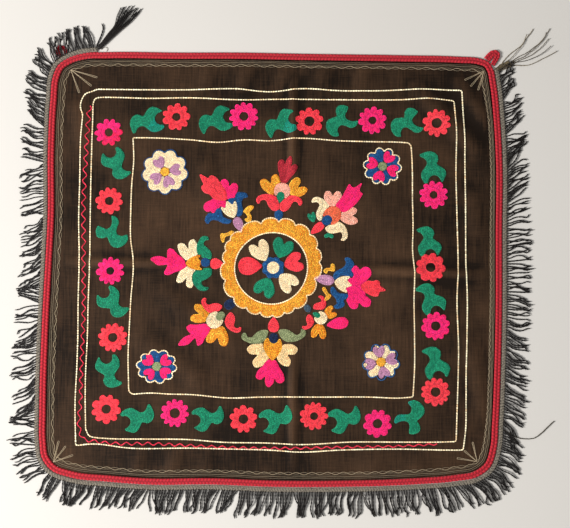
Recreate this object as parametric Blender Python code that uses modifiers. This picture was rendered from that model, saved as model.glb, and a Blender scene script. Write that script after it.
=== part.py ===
"""Suzani: an embroidered cotton square, bound in braid and fringed on three sides, lying flat.

Metres, +Z up. The cloth lies on the plane z = 0 with the origin under its middle.
+X is the cloth's right-hand side and +Y its top edge, the one side without a fringe.
"""
import math

import bmesh
import bpy
from mathutils import Vector

OBJECT_NAME = "suzani_textile"

# Thicknesses and widths
CLOTH_THICKNESS = 0.0015
BINDING_WIDTH = 0.0075
BINDING_HEIGHT = 0.0026
BINDING_GROOVE = 0.0005
HEADING_WIDTH = 0.0055
HEADING_HEIGHT = 0.0016
LOOP_BRAID_WIDTH = 0.0052
LOOP_BRAID_HEIGHT = 0.0022
SEWN_GAP = 0.0003
STEP_ALLOWANCE = 0.00015

# The braid's section, as shares of its width and height
RIDGE_SHARE = 0.27
SHOULDER_SHARE = 0.45

# Fringe locks, each one standing for a pair of twisted cords
LOCK_COUNT = 240
LOCK_WIDTH = 0.0030
LOCK_TIP_WIDTH = 0.0025
LOCK_HEIGHT = 0.0016
LOCK_NECK = 0.0032
LOCK_WAIST = 0.52
LOCK_TIP_SWAY = 0.0011
LOCK_LENGTH_SWAY = 0.0016
SWAY_RATES = (0.88, 1.37)
LENGTH_RATES = (1.90, 0.63)
LONG_END_WIDTH = 0.0013
LONG_END_HEIGHT = 0.0011
END_LOCK_HEIGHT = 0.0020
END_LOCK_STRAND_WIDTH = 0.0019
END_LOCK_SPREAD = 0.35
END_LOCK_BENDS = (0.22, 0.60)

# How finely the pieces are divided
CURVE_STEPS_PER_SPAN = 16
LONGEST_STEP = 0.024
SHORTEST_STEP = 0.0022
SHARPEST_TURN = math.radians(5)
LOOP_STEP = 4
CLOTH_COLUMNS = 38
CLOTH_ROWS = 32
CREASE_MARGIN = 0.6
EDGE_SAMPLING = 4
WELD_DISTANCE = 0.00002
LEVEL_TOLERANCE = 0.00001
SHARP_EDGE = math.radians(40)

# Outer edge of the braid binding, clockwise from the middle of the top edge: x, y
OUTLINE = [
    (0.0310, 0.2574), (0.1510, 0.2556), (0.2230, 0.2538), (0.2460, 0.2520), (0.2575, 0.2475),
    (0.2632, 0.2385), (0.2660, 0.2240), (0.2705, 0.1750), (0.2725, 0.1200), (0.2710, 0.0450),
    (0.2695, -0.0510), (0.2670, -0.1200), (0.2634, -0.1850), (0.2608, -0.2130),
    (0.2530, -0.2345), (0.2370, -0.2462), (0.2140, -0.2505), (0.1592, -0.2548),
    (0.0656, -0.2575), (-0.0045, -0.2572), (-0.0747, -0.2545), (-0.1449, -0.2548),
    (-0.1917, -0.2515), (-0.2386, -0.2460), (-0.2600, -0.2380), (-0.2712, -0.2240),
    (-0.2745, -0.2050), (-0.2752, -0.1700), (-0.2738, -0.0700), (-0.2708, 0.0100),
    (-0.2690, 0.0600), (-0.2700, 0.1410), (-0.2680, 0.2010), (-0.2650, 0.2310),
    (-0.2590, 0.2440), (-0.2470, 0.2525), (-0.2282, 0.2583), (-0.2000, 0.2594),
    (-0.1130, 0.2588), (-0.0410, 0.2588),
]

# Corners of the cloth, as points near which its four sides meet: x, y
CLOTH_CORNERS = [(-0.2620, 0.2520), (0.2600, 0.2480), (0.2560, -0.2420), (-0.2670, -0.2400)]

# Where the woven heading of the fringe starts and ends, going clockwise: x, y
HEADING_START = (0.2640, 0.2375)
HEADING_END = (-0.2125, 0.2640)

# Where the two pressed creases cross the cloth, as shares of its width and height
UPRIGHT_CREASE_SHARE = 0.5425
LEVEL_CREASE_SHARE = 0.502
LEVEL_CREASE_TILT = 0.031
CREASE_LINES = (-0.0130, -0.0045, 0.0, 0.0045, 0.0130)

# Folds and creases that stand up from the floor:
# name, from x, from y, to x, to y, half width, height
FOLDS = [
    ("upright crease, upper half", 0.0226, 0.2480, 0.0225, 0.0750, 0.0052, 0.0024),
    ("upright crease, lower half", 0.0224, -0.0800, 0.0224, -0.2480, 0.0052, 0.0024),
    ("level crease, left half", -0.2620, 0.0075, -0.1000, 0.0040, 0.0050, 0.0019),
    ("level crease, right half", 0.0850, -0.0030, 0.2620, -0.0095, 0.0056, 0.0028),
    ("long fold, upper right", 0.1560, 0.2300, 0.2600, 0.1200, 0.0115, 0.0034),
    ("short fold, upper right", 0.2120, 0.2360, 0.2650, 0.1620, 0.0095, 0.0028),
    ("side fold, right", 0.2330, 0.0990, 0.2430, 0.0270, 0.0110, 0.0022),
    ("side fold, lower right", 0.2300, -0.0700, 0.2500, -0.1930, 0.0110, 0.0022),
    ("slack fold, lower left", -0.1500, -0.0190, -0.0260, -0.1010, 0.0130, 0.0022),
    ("slack fold, lower left, outer", -0.1720, -0.0730, -0.0620, -0.1510, 0.0130, 0.0020),
    ("side fold, upper left", -0.2370, 0.2100, -0.2260, 0.1360, 0.0110, 0.0020),
    ("slack fold, upper left", -0.0860, 0.1420, -0.0760, 0.0560, 0.0120, 0.0017),
]
FOLD_FADE = 0.30

# Rows of small puckers where the edge is drawn in by its stitching:
# name, from x, to x, middle y, half depth, wavelength, height
PUCKERS = [
    ("top edge", -0.1450, 0.2050, 0.2330, 0.0190, 0.0470, 0.0019),
    ("bottom edge, left", -0.1900, -0.0600, -0.2310, 0.0170, 0.0430, 0.0017),
    ("bottom edge, right", 0.0700, 0.2000, -0.2330, 0.0150, 0.0520, 0.0012),
]
PUCKER_SLANT = 0.25
EDGE_FADE = 0.011
EDGE_HELD_FLAT = 0.15
FLAT_BELOW = 0.00018

# How the fringe lies, clockwise from its start at the top right:
# place as a share of its length, lean towards its end in degrees, length of a lock, bend
FRINGE_LIE = [
    (0.000, -12.0, 0.0215, 0.0),
    (0.035, -25.0, 0.0250, -0.0012),
    (0.090, -20.0, 0.0290, 0.0010),
    (0.150, 2.0, 0.0285, 0.0008),
    (0.210, 12.0, 0.0285, -0.0008),
    (0.290, 27.0, 0.0275, 0.0010),
    (0.330, -17.0, 0.0300, 0.0012),
    (0.400, -8.0, 0.0290, -0.0008),
    (0.480, -2.0, 0.0295, 0.0010),
    (0.560, 6.0, 0.0275, -0.0006),
    (0.625, 9.0, 0.0270, 0.0008),
    (0.665, -21.0, 0.0290, -0.0010),
    (0.740, -14.0, 0.0285, 0.0012),
    (0.810, -3.0, 0.0280, -0.0010),
    (0.880, 10.0, 0.0270, 0.0010),
    (0.935, 20.0, 0.0265, 0.0012),
    (0.970, 3.0, 0.0285, 0.0010),
    (1.000, -2.0, 0.0280, 0.0),
]

# Unravelled warps at the heading's start, the first from its end and the others from its narrow
# first roots, then a stray thread that leaves the fringe lower down: name, route as x, y
WARP_ENDS = [
    ("thin upper warp", [(0.2722, 0.2440), (0.2800, 0.2535), (0.2983, 0.2690), (0.3062, 0.2800),
                         (0.3119, 0.2880)]),
    ("middle warp bundle", [(0.2765, 0.2425), (0.2896, 0.2512), (0.3056, 0.2600), (0.3188, 0.2705),
                            (0.3270, 0.2800), (0.3318, 0.2885)]),
    ("low warp", [(0.2765, 0.2383), (0.2860, 0.2432), (0.3015, 0.2432), (0.3135, 0.2468),
                  (0.3257, 0.2530), (0.3403, 0.2605)]),
]
WARP_ROOT = 0.0020
STRAY_THREAD = [(0.2725, -0.1928), (0.2800, -0.1970), (0.2890, -0.2008), (0.3040, -0.2012),
                (0.3140, -0.1945), (0.3210, -0.1880), (0.3288, -0.1810)]
STRAY_THREAD_Y = -0.1905

# Lock of unravelled cords at the fringe's far end: x, y, width along its stem, then its tips
END_LOCK_STEM = [
    (-0.2118, 0.2640, 0.0046), (-0.2066, 0.2692, 0.0056), (-0.1980, 0.2790, 0.0082),
    (-0.1885, 0.2895, 0.0112),
]
END_LOCK_TIPS = [(-0.1850, 0.3140), (-0.1785, 0.3160), (-0.1715, 0.3160), (-0.1650, 0.3145),
                 (-0.1580, 0.3115)]

# Hanging loops of the same braid, sewn behind the top corners. Each stands on a foot point of the
# outline, x, y, and its centre line is given there as: along the edge, outwards, braid width
RIGHT_LOOP_FOOT = (0.2590, 0.2475)
RIGHT_LOOP = [
    (-0.0049, 0.0004, 0.0072), (-0.0057, 0.0058, 0.0070), (-0.0057, 0.0116, 0.0061),
    (-0.0026, 0.0154, 0.0047), (0.0010, 0.0142, 0.0041), (0.0030, 0.0098, 0.0037),
    (0.0046, 0.0045, 0.0034), (0.0058, 0.0010, 0.0034),
]
LEFT_LOOP_FOOT = (-0.2530, 0.2560)
LEFT_LOOP = [
    (-0.0038, 0.0004, 0.0048), (-0.0044, 0.0050, 0.0046), (-0.0034, 0.0088, 0.0044),
    (0.0, 0.0108, 0.0043), (0.0034, 0.0088, 0.0044), (0.0044, 0.0050, 0.0046),
    (0.0038, 0.0004, 0.0048),
]
LEFT_LOOP_CLEARANCE = 0.0094

# Colours, linear light
COTTON_BLACK = (0.0130, 0.0105, 0.0090)
BRAID_RED = (0.5500, 0.0260, 0.0400)
CORD_BLACK = (0.0100, 0.0085, 0.0085)


def smooth(share):
    """Ease from 0 to 1."""
    share = min(max(share, 0.0), 1.0)
    return share * share * (3.0 - 2.0 * share)


def clear_scene():
    for item in list(bpy.data.objects):
        bpy.data.objects.remove(item)


def new_collection(name):
    collection = bpy.data.collections.new(name)
    bpy.context.scene.collection.children.link(collection)
    return collection


def new_material(name, color, roughness):
    material = bpy.data.materials.new(name)
    material.use_nodes = True
    shader = material.node_tree.nodes["Principled BSDF"]
    shader.inputs["Base Color"].default_value = (*color, 1.0)
    shader.inputs["Roughness"].default_value = roughness
    shader.inputs["Metallic"].default_value = 0.0
    return material


def tangent(before, here, after):
    """The way a smooth curve passes a point, per unit of its length."""
    back = (here - before).length
    ahead = (after - here).length
    if back == 0.0 or ahead == 0.0:
        return (after - before) / max(back, ahead)
    return ((here - before) / back * ahead + (after - here) / ahead * back) / (back + ahead)


def point_between(near, share):
    """A point on the smooth curve between the middle two of four neighbouring points."""
    before, start, end, after = near
    span = (end - start).length
    leave = tangent(before, start, end) * span
    arrive = tangent(start, end, after) * span
    square = share * share
    cube = square * share
    return (
        start * (2 * cube - 3 * square + 1) + leave * (cube - 2 * square + share)
        + end * (3 * square - 2 * cube) + arrive * (cube - square)
    )


def spline_through(points, closed):
    """A smooth curve through the given points, as many short straight steps."""
    count = len(points)
    spans = count if closed else count - 1
    path = []
    for span in range(spans):
        numbers = [span - 1, span, span + 1, span + 2]
        if closed:
            near = [Vector(points[number % count]) for number in numbers]
        else:
            near = [Vector(points[min(max(number, 0), count - 1)]) for number in numbers]
        for step in range(CURVE_STEPS_PER_SPAN):
            path.append(point_between(near, step / CURVE_STEPS_PER_SPAN))
    if not closed:
        path.append(Vector(points[-1]))
    return path


def outward_normals(path, closed):
    """Unit normals on the left of a clockwise path, which is its outer side."""
    count = len(path)
    normals = []
    for index in range(count):
        before = path[index - 1] if closed or index > 0 else path[index]
        after = path[(index + 1) % count] if closed or index < count - 1 else path[index]
        along = (after - before).normalized()
        normals.append(Vector((-along.y, along.x)))
    return normals


def shifted(path, distance, closed=True):
    """The path moved outwards by a distance, or inwards by a negative one."""
    normals = outward_normals(path, closed)
    return [place + normal * distance for place, normal in zip(path, normals)]


def lengths_along(path):
    """The distance along an open path at each of its points."""
    distances = [0.0]
    for before, after in zip(path, path[1:]):
        distances.append(distances[-1] + (after - before).length)
    return distances


def place_at(path, distances, wanted):
    """The point of an open path at a distance along it."""
    for index in range(1, len(path)):
        if wanted <= distances[index] or index == len(path) - 1:
            run = distances[index] - distances[index - 1]
            share = (wanted - distances[index - 1]) / run
            return path[index - 1].lerp(path[index], share)
    return path[-1]


def nearest_index(path, target):
    target = Vector(target)
    return min(range(len(path)), key=lambda index: (path[index] - target).length)


def between(path, start, end):
    """The stretch of a closed path from one point to another, going clockwise."""
    first = nearest_index(path, start)
    last = nearest_index(path, end)
    if last < first:
        last += len(path)
    return [path[index % len(path)] for index in range(first, last + 1)]


def thinned(path):
    """Only the points that a closed path needs for its bends and its longest step."""
    normals = outward_normals(path, True)
    kept = [path[0]]
    kept_normal = normals[0]
    for place, normal in zip(path[1:], normals[1:]):
        turned = kept_normal.angle(normal)
        far = (place - kept[-1]).length
        from_start = (place - path[0]).length
        bends = turned > SHARPEST_TURN and far > SHORTEST_STEP
        if (bends or far > LONGEST_STEP) and from_start > LONGEST_STEP / 2:
            kept.append(place)
            kept_normal = normal
    return kept


def fold_height(x, y):
    """How far the cloth's underside stands off the floor, from folds and puckers."""
    here = Vector((x, y))
    height = 0.0
    for _, from_x, from_y, to_x, to_y, half_width, top in FOLDS:
        start = Vector((from_x, from_y))
        run = Vector((to_x, to_y)) - start
        share = (here - start).dot(run) / run.length_squared
        if share <= 0.0 or share >= 1.0:
            continue
        off = (here - start - run * share).length
        ends = smooth(share / FOLD_FADE) * smooth((1.0 - share) / FOLD_FADE)
        height = max(height, top * ends * math.exp(-((off / half_width) ** 2)))
    for _, from_x, to_x, middle_y, half_depth, wavelength, top in PUCKERS:
        share = (x - from_x) / (to_x - from_x)
        if share <= 0.0 or share >= 1.0:
            continue
        ends = smooth(share / FOLD_FADE) * smooth((1.0 - share) / FOLD_FADE)
        across = math.exp(-(((y - middle_y) / half_depth) ** 2))
        slanted = x - PUCKER_SLANT * (y - middle_y)
        wave = 0.5 + 0.5 * math.sin(2 * math.pi * slanted / wavelength)
        height = max(height, top * ends * across * wave ** 2)
    return height


def grid_shares(count, crease_share):
    """Evenly spaced grid lines, with close ones where a crease runs."""
    close = [crease_share + offset for offset in CREASE_LINES]
    margin = CREASE_MARGIN / count
    even = [index / count for index in range(count + 1)]
    clear = [share for share in even if share < close[0] - margin or share > close[-1] + margin]
    return sorted(clear + close)


def side_point(side, share):
    """A point of one side of the cloth at a share of its length."""
    path, distances = side
    return place_at(path, distances, distances[-1] * share)


def cloth_sides(edge):
    """The four sides of the cloth's edge: top and bottom left to right, sides upwards."""
    top_left, top_right, bottom_right, bottom_left = CLOTH_CORNERS
    top = between(edge, top_left, top_right)
    right = between(edge, top_right, bottom_right)[::-1]
    bottom = between(edge, bottom_right, bottom_left)[::-1]
    left = between(edge, bottom_left, top_left)
    return [(path, lengths_along(path)) for path in (top, bottom, left, right)]


def cloth_point(sides, across, up):
    """A point of the cloth from its shares across and up, drawn from its four sides."""
    top, bottom, left, right = sides
    tilt = LEVEL_CREASE_TILT * (0.5 - across) * math.sin(math.pi * up) ** 2
    level = up + tilt
    sides_mix = side_point(left, level) * (1 - across) + side_point(right, level) * across
    ends_mix = side_point(bottom, across) * (1 - level) + side_point(top, across) * level
    low = side_point(bottom, 0.0) * (1 - across) + side_point(bottom, 1.0) * across
    high = side_point(top, 0.0) * (1 - across) + side_point(top, 1.0) * across
    return sides_mix + ends_mix - (low * (1 - level) + high * level)


def edge_distance(place, edge):
    return min((place - other).length for other in edge)


def make_ground_cloth(collection, edge, material):
    """The cotton square: a curved sheet on its folds, flat where it touches the floor."""
    sides = cloth_sides(edge)
    columns = grid_shares(CLOTH_COLUMNS, UPRIGHT_CREASE_SHARE)
    rows = grid_shares(CLOTH_ROWS, LEVEL_CREASE_SHARE)
    sheet = bmesh.new()
    bmesh.ops.create_grid(sheet, x_segments=len(columns) - 1, y_segments=len(rows) - 1, size=0.5)
    coarse_edge = edge[::EDGE_SAMPLING]
    for vertex in sheet.verts:
        column = round((vertex.co.x + 0.5) * (len(columns) - 1))
        row = round((vertex.co.y + 0.5) * (len(rows) - 1))
        place = cloth_point(sides, columns[column], rows[row])
        fade = smooth(edge_distance(place, coarse_edge) / EDGE_FADE - EDGE_HELD_FLAT)
        lift = fold_height(place.x, place.y) * fade
        vertex.co = Vector((place.x, place.y, max(lift - FLAT_BELOW, 0.0)))
    mesh = bpy.data.meshes.new("ground_cloth")
    sheet.to_mesh(mesh)
    sheet.free()
    mesh.materials.append(material)
    mesh.shade_smooth()
    cloth = bpy.data.objects.new("ground_cloth", mesh)
    collection.objects.link(cloth)
    wall = cloth.modifiers.new("Thickness", "SOLIDIFY")
    wall.thickness = CLOTH_THICKNESS
    wall.offset = 1.0


def braid_profile(name, width, height, groove, guides):
    """The braid's section: a flat foot, round shoulders and a groove between two ridges."""
    half = width / 2
    ridge = width * RIDGE_SHARE
    shoulder = height * SHOULDER_SHARE
    section = [
        (-half, 0.0), (-half, shoulder), (-ridge, height), (0.0, height - groove),
        (ridge, height), (half, shoulder), (half, 0.0),
    ]
    data = bpy.data.curves.new(name, "CURVE")
    data.dimensions = "2D"
    spline = data.splines.new("POLY")
    spline.points.add(len(section) - 1)
    for point, (across, up) in zip(spline.points, section):
        point.co = (across, up, 0.0, 1.0)
    spline.use_cyclic_u = True
    profile = bpy.data.objects.new(name, data)
    profile.hide_render = True
    profile.display_type = "WIRE"
    guides.objects.link(profile)
    return profile


def make_braid(name, path, widths, closed, profile, collection, material):
    """A braid laid flat on the floor along a path, with its share of full size at each point."""
    data = bpy.data.curves.new(name, "CURVE")
    data.dimensions = "2D"
    data.fill_mode = "NONE"
    spline = data.splines.new("POLY")
    spline.points.add(len(path) - 1)
    for point, place, width in zip(spline.points, path, widths):
        point.co = (place.x, place.y, 0.0, 1.0)
        point.radius = width
    spline.use_cyclic_u = closed
    data.bevel_mode = "OBJECT"
    data.bevel_object = profile
    data.use_fill_caps = not closed
    data.materials.append(material)
    braid = bpy.data.objects.new(name, data)
    collection.objects.link(braid)


def loop_path(wall, foot, shape):
    """A loop's centre line, its widths and the point of the wall that it stands on."""
    index = nearest_index(wall, foot)
    stand = wall[index]
    outward = outward_normals(wall, True)[index]
    along = Vector((outward.y, -outward.x))
    curve = spline_through(shape, False)[::LOOP_STEP]
    path = [stand + along * point[0] + outward * point[1] for point in curve]
    return path, [point[2] / LOOP_BRAID_WIDTH for point in curve], stand


def grow_face(mesh, face, corners):
    """Extrude one face and put the new face's corners where they belong."""
    grown = bmesh.ops.extrude_discrete_faces(mesh, faces=[face])["faces"][0]
    for vertex, place in zip(grown.verts, corners):
        vertex.co = place
    return grown


def section_corners(face, middle, along, width, height):
    """Corners of a level section across a lock, in the order of the face it grows from."""
    left = Vector((-along.y, along.x))
    face_middle = face.calc_center_median()
    corners = []
    for vertex in face.verts:
        side = 1.0 if (vertex.co - face_middle).xy.dot(left) > 0.0 else -1.0
        level = height if vertex.co.z > face_middle.z else 0.0
        place = middle + left * (side * width / 2)
        corners.append(Vector((place.x, place.y, level)))
    return corners


def grow_lock(mesh, face, route, widths, height):
    """Grow a lock out of a root face along the middle points of its route."""
    here = face.calc_center_median().xy
    for middle, width in zip(route, widths):
        along = (middle - here).normalized()
        face = grow_face(mesh, face, section_corners(face, middle, along, width, height))
        here = middle


def fringe_lie(share):
    """Lean, length and bend of a lock at a share of the fringe's length."""
    for low, high in zip(FRINGE_LIE, FRINGE_LIE[1:]):
        if share <= high[0]:
            mix = smooth((share - low[0]) / (high[0] - low[0]))
            return [a + (b - a) * mix for a, b in zip(low[1:], high[1:])]
    return list(FRINGE_LIE[-1][1:])


def lock_route(root, outward, share, number):
    """Middle points of one ordinary lock: its neck, its middle and its tip."""
    lean, length, bend = fringe_lie(share)
    towards_end = Vector((outward.y, -outward.x))
    angle = math.radians(lean)
    along = outward * math.cos(angle) + towards_end * math.sin(angle)
    side = Vector((along.y, -along.x))
    fast, slow = LENGTH_RATES
    length += LOCK_LENGTH_SWAY * math.sin(number * fast) * math.cos(number * slow)
    wide, narrow = SWAY_RATES
    sway = LOCK_TIP_SWAY * (math.sin(number * wide) + math.sin(number * narrow) / 2)
    neck = root + along * LOCK_NECK
    waist = root + along * (length * LOCK_WAIST) + side * (bend + sway / 3)
    tip = root + along * length + side * sway
    return [neck, waist, tip]


def heading_stations(inner):
    """Places along the heading: narrow roots for the warp ends, then one step for each lock."""
    distances = lengths_along(inner)
    narrow = [WARP_ROOT * index for index in range(len(WARP_ENDS))]
    first = narrow[-1]
    pitch = (distances[-1] - first) / LOCK_COUNT
    wanted = narrow + [first + pitch * (index + 1) for index in range(LOCK_COUNT)]
    places = [place_at(inner, distances, distance) for distance in wanted]
    return places, [distance / distances[-1] for distance in wanted]


def make_fringe_trim(collection, outline, loop_middle, material):
    """The woven heading with its locks: one solid, grown by extruding faces."""
    inner = between(shifted(outline, SEWN_GAP + STEP_ALLOWANCE), HEADING_START, HEADING_END)
    places, shares = heading_stations(inner)
    normals = outward_normals(places, False)
    strip = bmesh.new()
    sections = []
    for place, normal in zip(places, normals):
        outer = place + normal * HEADING_WIDTH
        sections.append([
            Vector((place.x, place.y, 0.0)), Vector((outer.x, outer.y, 0.0)),
            Vector((outer.x, outer.y, HEADING_HEIGHT)), Vector((place.x, place.y, HEADING_HEIGHT)),
        ])
    first_ring = [strip.verts.new(corner) for corner in sections[0]]
    strip.faces.new(first_ring[::-1])
    end_face = strip.faces.new([strip.verts.new(corner) for corner in sections[0]])
    rings = [first_ring]
    for corners in sections[1:]:
        end_face = grow_face(strip, end_face, corners)
        rings.append(list(end_face.verts))
    bmesh.ops.remove_doubles(strip, verts=strip.verts, dist=WELD_DISTANCE)
    grow_all_locks(strip, sections, shares, normals, loop_middle)
    bmesh.ops.recalc_face_normals(strip, faces=strip.faces)
    mesh = bpy.data.meshes.new("fringe_trim")
    strip.to_mesh(mesh)
    strip.free()
    mesh.materials.append(material)
    mesh.shade_smooth()
    mesh.set_sharp_from_angle(angle=SHARP_EDGE)
    collection.objects.link(bpy.data.objects.new("fringe_trim", mesh))


def face_at(mesh, corners):
    """The face of a mesh whose middle is the middle of the given corners."""
    middle = sum(corners, Vector((0.0, 0.0, 0.0))) / len(corners)
    return min(mesh.faces, key=lambda face: (face.calc_center_median() - middle).length)


def grow_all_locks(strip, sections, shares, normals, loop_middle):
    """Grow the warp ends from the heading's start and a lock from each step of its outer wall."""
    warp_roots = [face_at(strip, sections[0])]
    narrow_steps = len(WARP_ENDS) - 1
    walls = []
    for before, after in zip(sections, sections[1:]):
        walls.append(face_at(strip, [before[1], before[2], after[1], after[2]]))
    warp_roots += walls[:narrow_steps]
    for root, (_, route) in zip(warp_roots, WARP_ENDS):
        middles = [Vector(place) for place in route]
        grow_lock(strip, root, middles, [LONG_END_WIDTH] * len(middles), LONG_END_HEIGHT)
    stray_number = min(
        range(narrow_steps, len(walls) // 2),
        key=lambda number: abs(walls[number].calc_center_median().y - STRAY_THREAD_Y),
    )
    for number in range(narrow_steps, len(walls)):
        root = walls[number].calc_center_median().xy
        if number == stray_number:
            middles = [Vector(place) for place in STRAY_THREAD]
            grow_lock(strip, walls[number], middles, [LONG_END_WIDTH] * len(middles), LONG_END_HEIGHT)
            continue
        if (root - loop_middle).length < LEFT_LOOP_CLEARANCE:
            continue
        outward = (normals[number] + normals[number + 1]).normalized()
        share = (shares[number] + shares[number + 1]) / 2
        middles = lock_route(root, outward, share, number)
        widths = [LOCK_WIDTH, LOCK_WIDTH, LOCK_TIP_WIDTH]
        grow_lock(strip, walls[number], middles, widths, LOCK_HEIGHT)


def make_end_lock(collection, material):
    """The bunched, unravelled cords at the fringe's end: a widening stem that splits in locks."""
    lock = bmesh.new()
    start_x, start_y, start_width = END_LOCK_STEM[0]
    half = start_width / 2
    corners = [
        Vector((start_x, start_y + half, 0.0)), Vector((start_x, start_y - half, 0.0)),
        Vector((start_x, start_y - half, HEADING_HEIGHT)),
        Vector((start_x, start_y + half, HEADING_HEIGHT)),
    ]
    lock.faces.new([lock.verts.new(corner) for corner in corners][::-1])
    end_face = lock.faces.new([lock.verts.new(corner) for corner in corners])
    here = Vector((start_x, start_y))
    for x, y, width in END_LOCK_STEM[1:]:
        middle = Vector((x, y))
        along = (middle - here).normalized()
        end_face = grow_face(
            lock, end_face, section_corners(end_face, middle, along, width, END_LOCK_HEIGHT))
        here = middle
    bmesh.ops.remove_doubles(lock, verts=lock.verts, dist=WELD_DISTANCE)
    level_edges = [
        edge for edge in end_face.edges
        if abs(edge.verts[0].co.z - edge.verts[1].co.z) < LEVEL_TOLERANCE
    ]
    bmesh.ops.subdivide_edges(lock, edges=level_edges, cuts=len(END_LOCK_TIPS) - 1)
    stem_way = (Vector(END_LOCK_STEM[-1][:2]) - Vector(END_LOCK_STEM[-2][:2])).normalized()
    across = Vector((-stem_way.y, stem_way.x))
    roots = [
        face for face in lock.faces
        if abs((face.calc_center_median().xy - here).dot(stem_way)) < LEVEL_TOLERANCE
    ]
    roots.sort(key=lambda face: -face.calc_center_median().xy.dot(across))
    for root, tip in zip(roots, END_LOCK_TIPS):
        foot = root.calc_center_median().xy
        tip = Vector(tip)
        bulge = across * (foot - here).dot(across) * END_LOCK_SPREAD
        near, far = END_LOCK_BENDS
        middles = [foot.lerp(tip, near) + bulge / 2, foot.lerp(tip, far) + bulge, tip]
        widths = [END_LOCK_STRAND_WIDTH] * len(middles)
        grow_lock(lock, root, middles, widths, END_LOCK_HEIGHT)
    bmesh.ops.recalc_face_normals(lock, faces=lock.faces)
    mesh = bpy.data.meshes.new("fringe_end_lock")
    lock.to_mesh(mesh)
    lock.free()
    mesh.materials.append(material)
    mesh.shade_smooth()
    mesh.set_sharp_from_angle(angle=SHARP_EDGE)
    collection.objects.link(bpy.data.objects.new("fringe_end_lock", mesh))


def main():
    clear_scene()
    collection = new_collection(OBJECT_NAME)
    guides = new_collection("guides")
    cotton = new_material("cotton_satin_black", COTTON_BLACK, 0.70)
    braid = new_material("braid_red", BRAID_RED, 0.60)
    cord = new_material("fringe_cord_black", CORD_BLACK, 0.45)
    outline = spline_through(OUTLINE, True)
    cloth_edge = shifted(outline, -(BINDING_WIDTH + SEWN_GAP + STEP_ALLOWANCE))
    make_ground_cloth(collection, cloth_edge, cotton)
    wide_braid = braid_profile(
        "binding_profile", BINDING_WIDTH, BINDING_HEIGHT, BINDING_GROOVE, guides)
    ring = thinned(shifted(outline, -BINDING_WIDTH / 2))
    make_braid("red_binding", ring, [1.0] * len(ring), True, wide_braid, collection, braid)
    loop_braid = braid_profile(
        "loop_profile", LOOP_BRAID_WIDTH, LOOP_BRAID_HEIGHT, BINDING_GROOVE, guides)
    trim_outer = shifted(outline, SEWN_GAP + STEP_ALLOWANCE + HEADING_WIDTH)
    loops = [
        ("hanging_loop_right", outline, RIGHT_LOOP_FOOT, RIGHT_LOOP),
        ("hanging_loop_left", trim_outer, LEFT_LOOP_FOOT, LEFT_LOOP),
    ]
    for name, wall, foot, shape in loops:
        path, widths, feet = loop_path(wall, foot, shape)
        make_braid(name, path, widths, False, loop_braid, collection, braid)
    make_fringe_trim(collection, outline, feet, cord)
    make_end_lock(collection, cord)


main()
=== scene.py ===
"""Looks of the suzani: woven ground, chain-stitched flowers, braid, corded fringe and studio stage.

Run as a script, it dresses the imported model. Motif tables are in millimetres in the part's frame,
and everything that reaches a mesh is in metres.
"""
import math

import bpy
import numpy as np
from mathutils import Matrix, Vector


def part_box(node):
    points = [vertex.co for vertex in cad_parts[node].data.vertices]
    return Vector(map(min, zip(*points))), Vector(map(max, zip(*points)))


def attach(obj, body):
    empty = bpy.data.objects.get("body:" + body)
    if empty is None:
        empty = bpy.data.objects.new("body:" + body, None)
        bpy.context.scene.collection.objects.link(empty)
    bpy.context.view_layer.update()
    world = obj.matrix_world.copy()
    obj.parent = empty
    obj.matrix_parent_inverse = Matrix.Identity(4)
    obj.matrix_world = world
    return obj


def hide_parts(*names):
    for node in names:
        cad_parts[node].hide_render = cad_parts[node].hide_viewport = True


bl_info = {
    "name": "Suzani Textile",
    "version": (1, 0, 0),
    "blender": (4, 5, 0),
    "location": "View3D > Sidebar > Suzani",
    "description": "Builds the cloth, embroidery, braid and fringe of an embroidered suzani",
    "category": "Add Mesh",
}

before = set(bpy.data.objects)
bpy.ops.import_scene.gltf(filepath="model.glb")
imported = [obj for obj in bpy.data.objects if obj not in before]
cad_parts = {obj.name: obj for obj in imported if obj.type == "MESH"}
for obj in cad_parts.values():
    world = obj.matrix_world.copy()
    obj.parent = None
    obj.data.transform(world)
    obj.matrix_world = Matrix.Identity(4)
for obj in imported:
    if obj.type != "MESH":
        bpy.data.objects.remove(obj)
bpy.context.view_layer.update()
MM = 0.001
SEED = 41
TINY = 1e-9
FAR = 1e9

# Places shared with the part's source

# Outer edge of the braid binding, clockwise from the middle of the top edge: x, y
OUTLINE = [
    (31.0, 257.4), (151.0, 255.6), (223.0, 253.8), (246.0, 252.0), (257.5, 247.5),
    (263.2, 238.5), (266.0, 224.0), (270.5, 175.0), (272.5, 120.0), (271.0, 45.0),
    (269.5, -51.0), (267.0, -120.0), (263.4, -185.0), (260.8, -213.0),
    (253.0, -234.5), (237.0, -246.2), (214.0, -250.5), (159.2, -254.8),
    (65.6, -257.5), (-4.5, -257.2), (-74.7, -254.5), (-144.9, -254.8),
    (-191.7, -251.5), (-238.6, -246.0), (-260.0, -238.0), (-271.2, -224.0),
    (-274.5, -205.0), (-275.2, -170.0), (-273.8, -70.0), (-270.8, 10.0),
    (-269.0, 60.0), (-270.0, 141.0), (-268.0, 201.0), (-265.0, 231.0),
    (-259.0, 244.0), (-247.0, 252.5), (-228.2, 258.3), (-200.0, 259.4),
    (-113.0, 258.8), (-41.0, 258.8),
]
CLOTH_CORNERS = [(-262.0, 252.0), (260.0, 248.0), (256.0, -242.0), (-267.0, -240.0)]
HEADING_START = (264.0, 237.5)
HEADING_END = (-212.5, 264.0)
SEWN_GAP = 0.45
BINDING_WIDTH = 7.5
HEADING_WIDTH = 5.5

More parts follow.
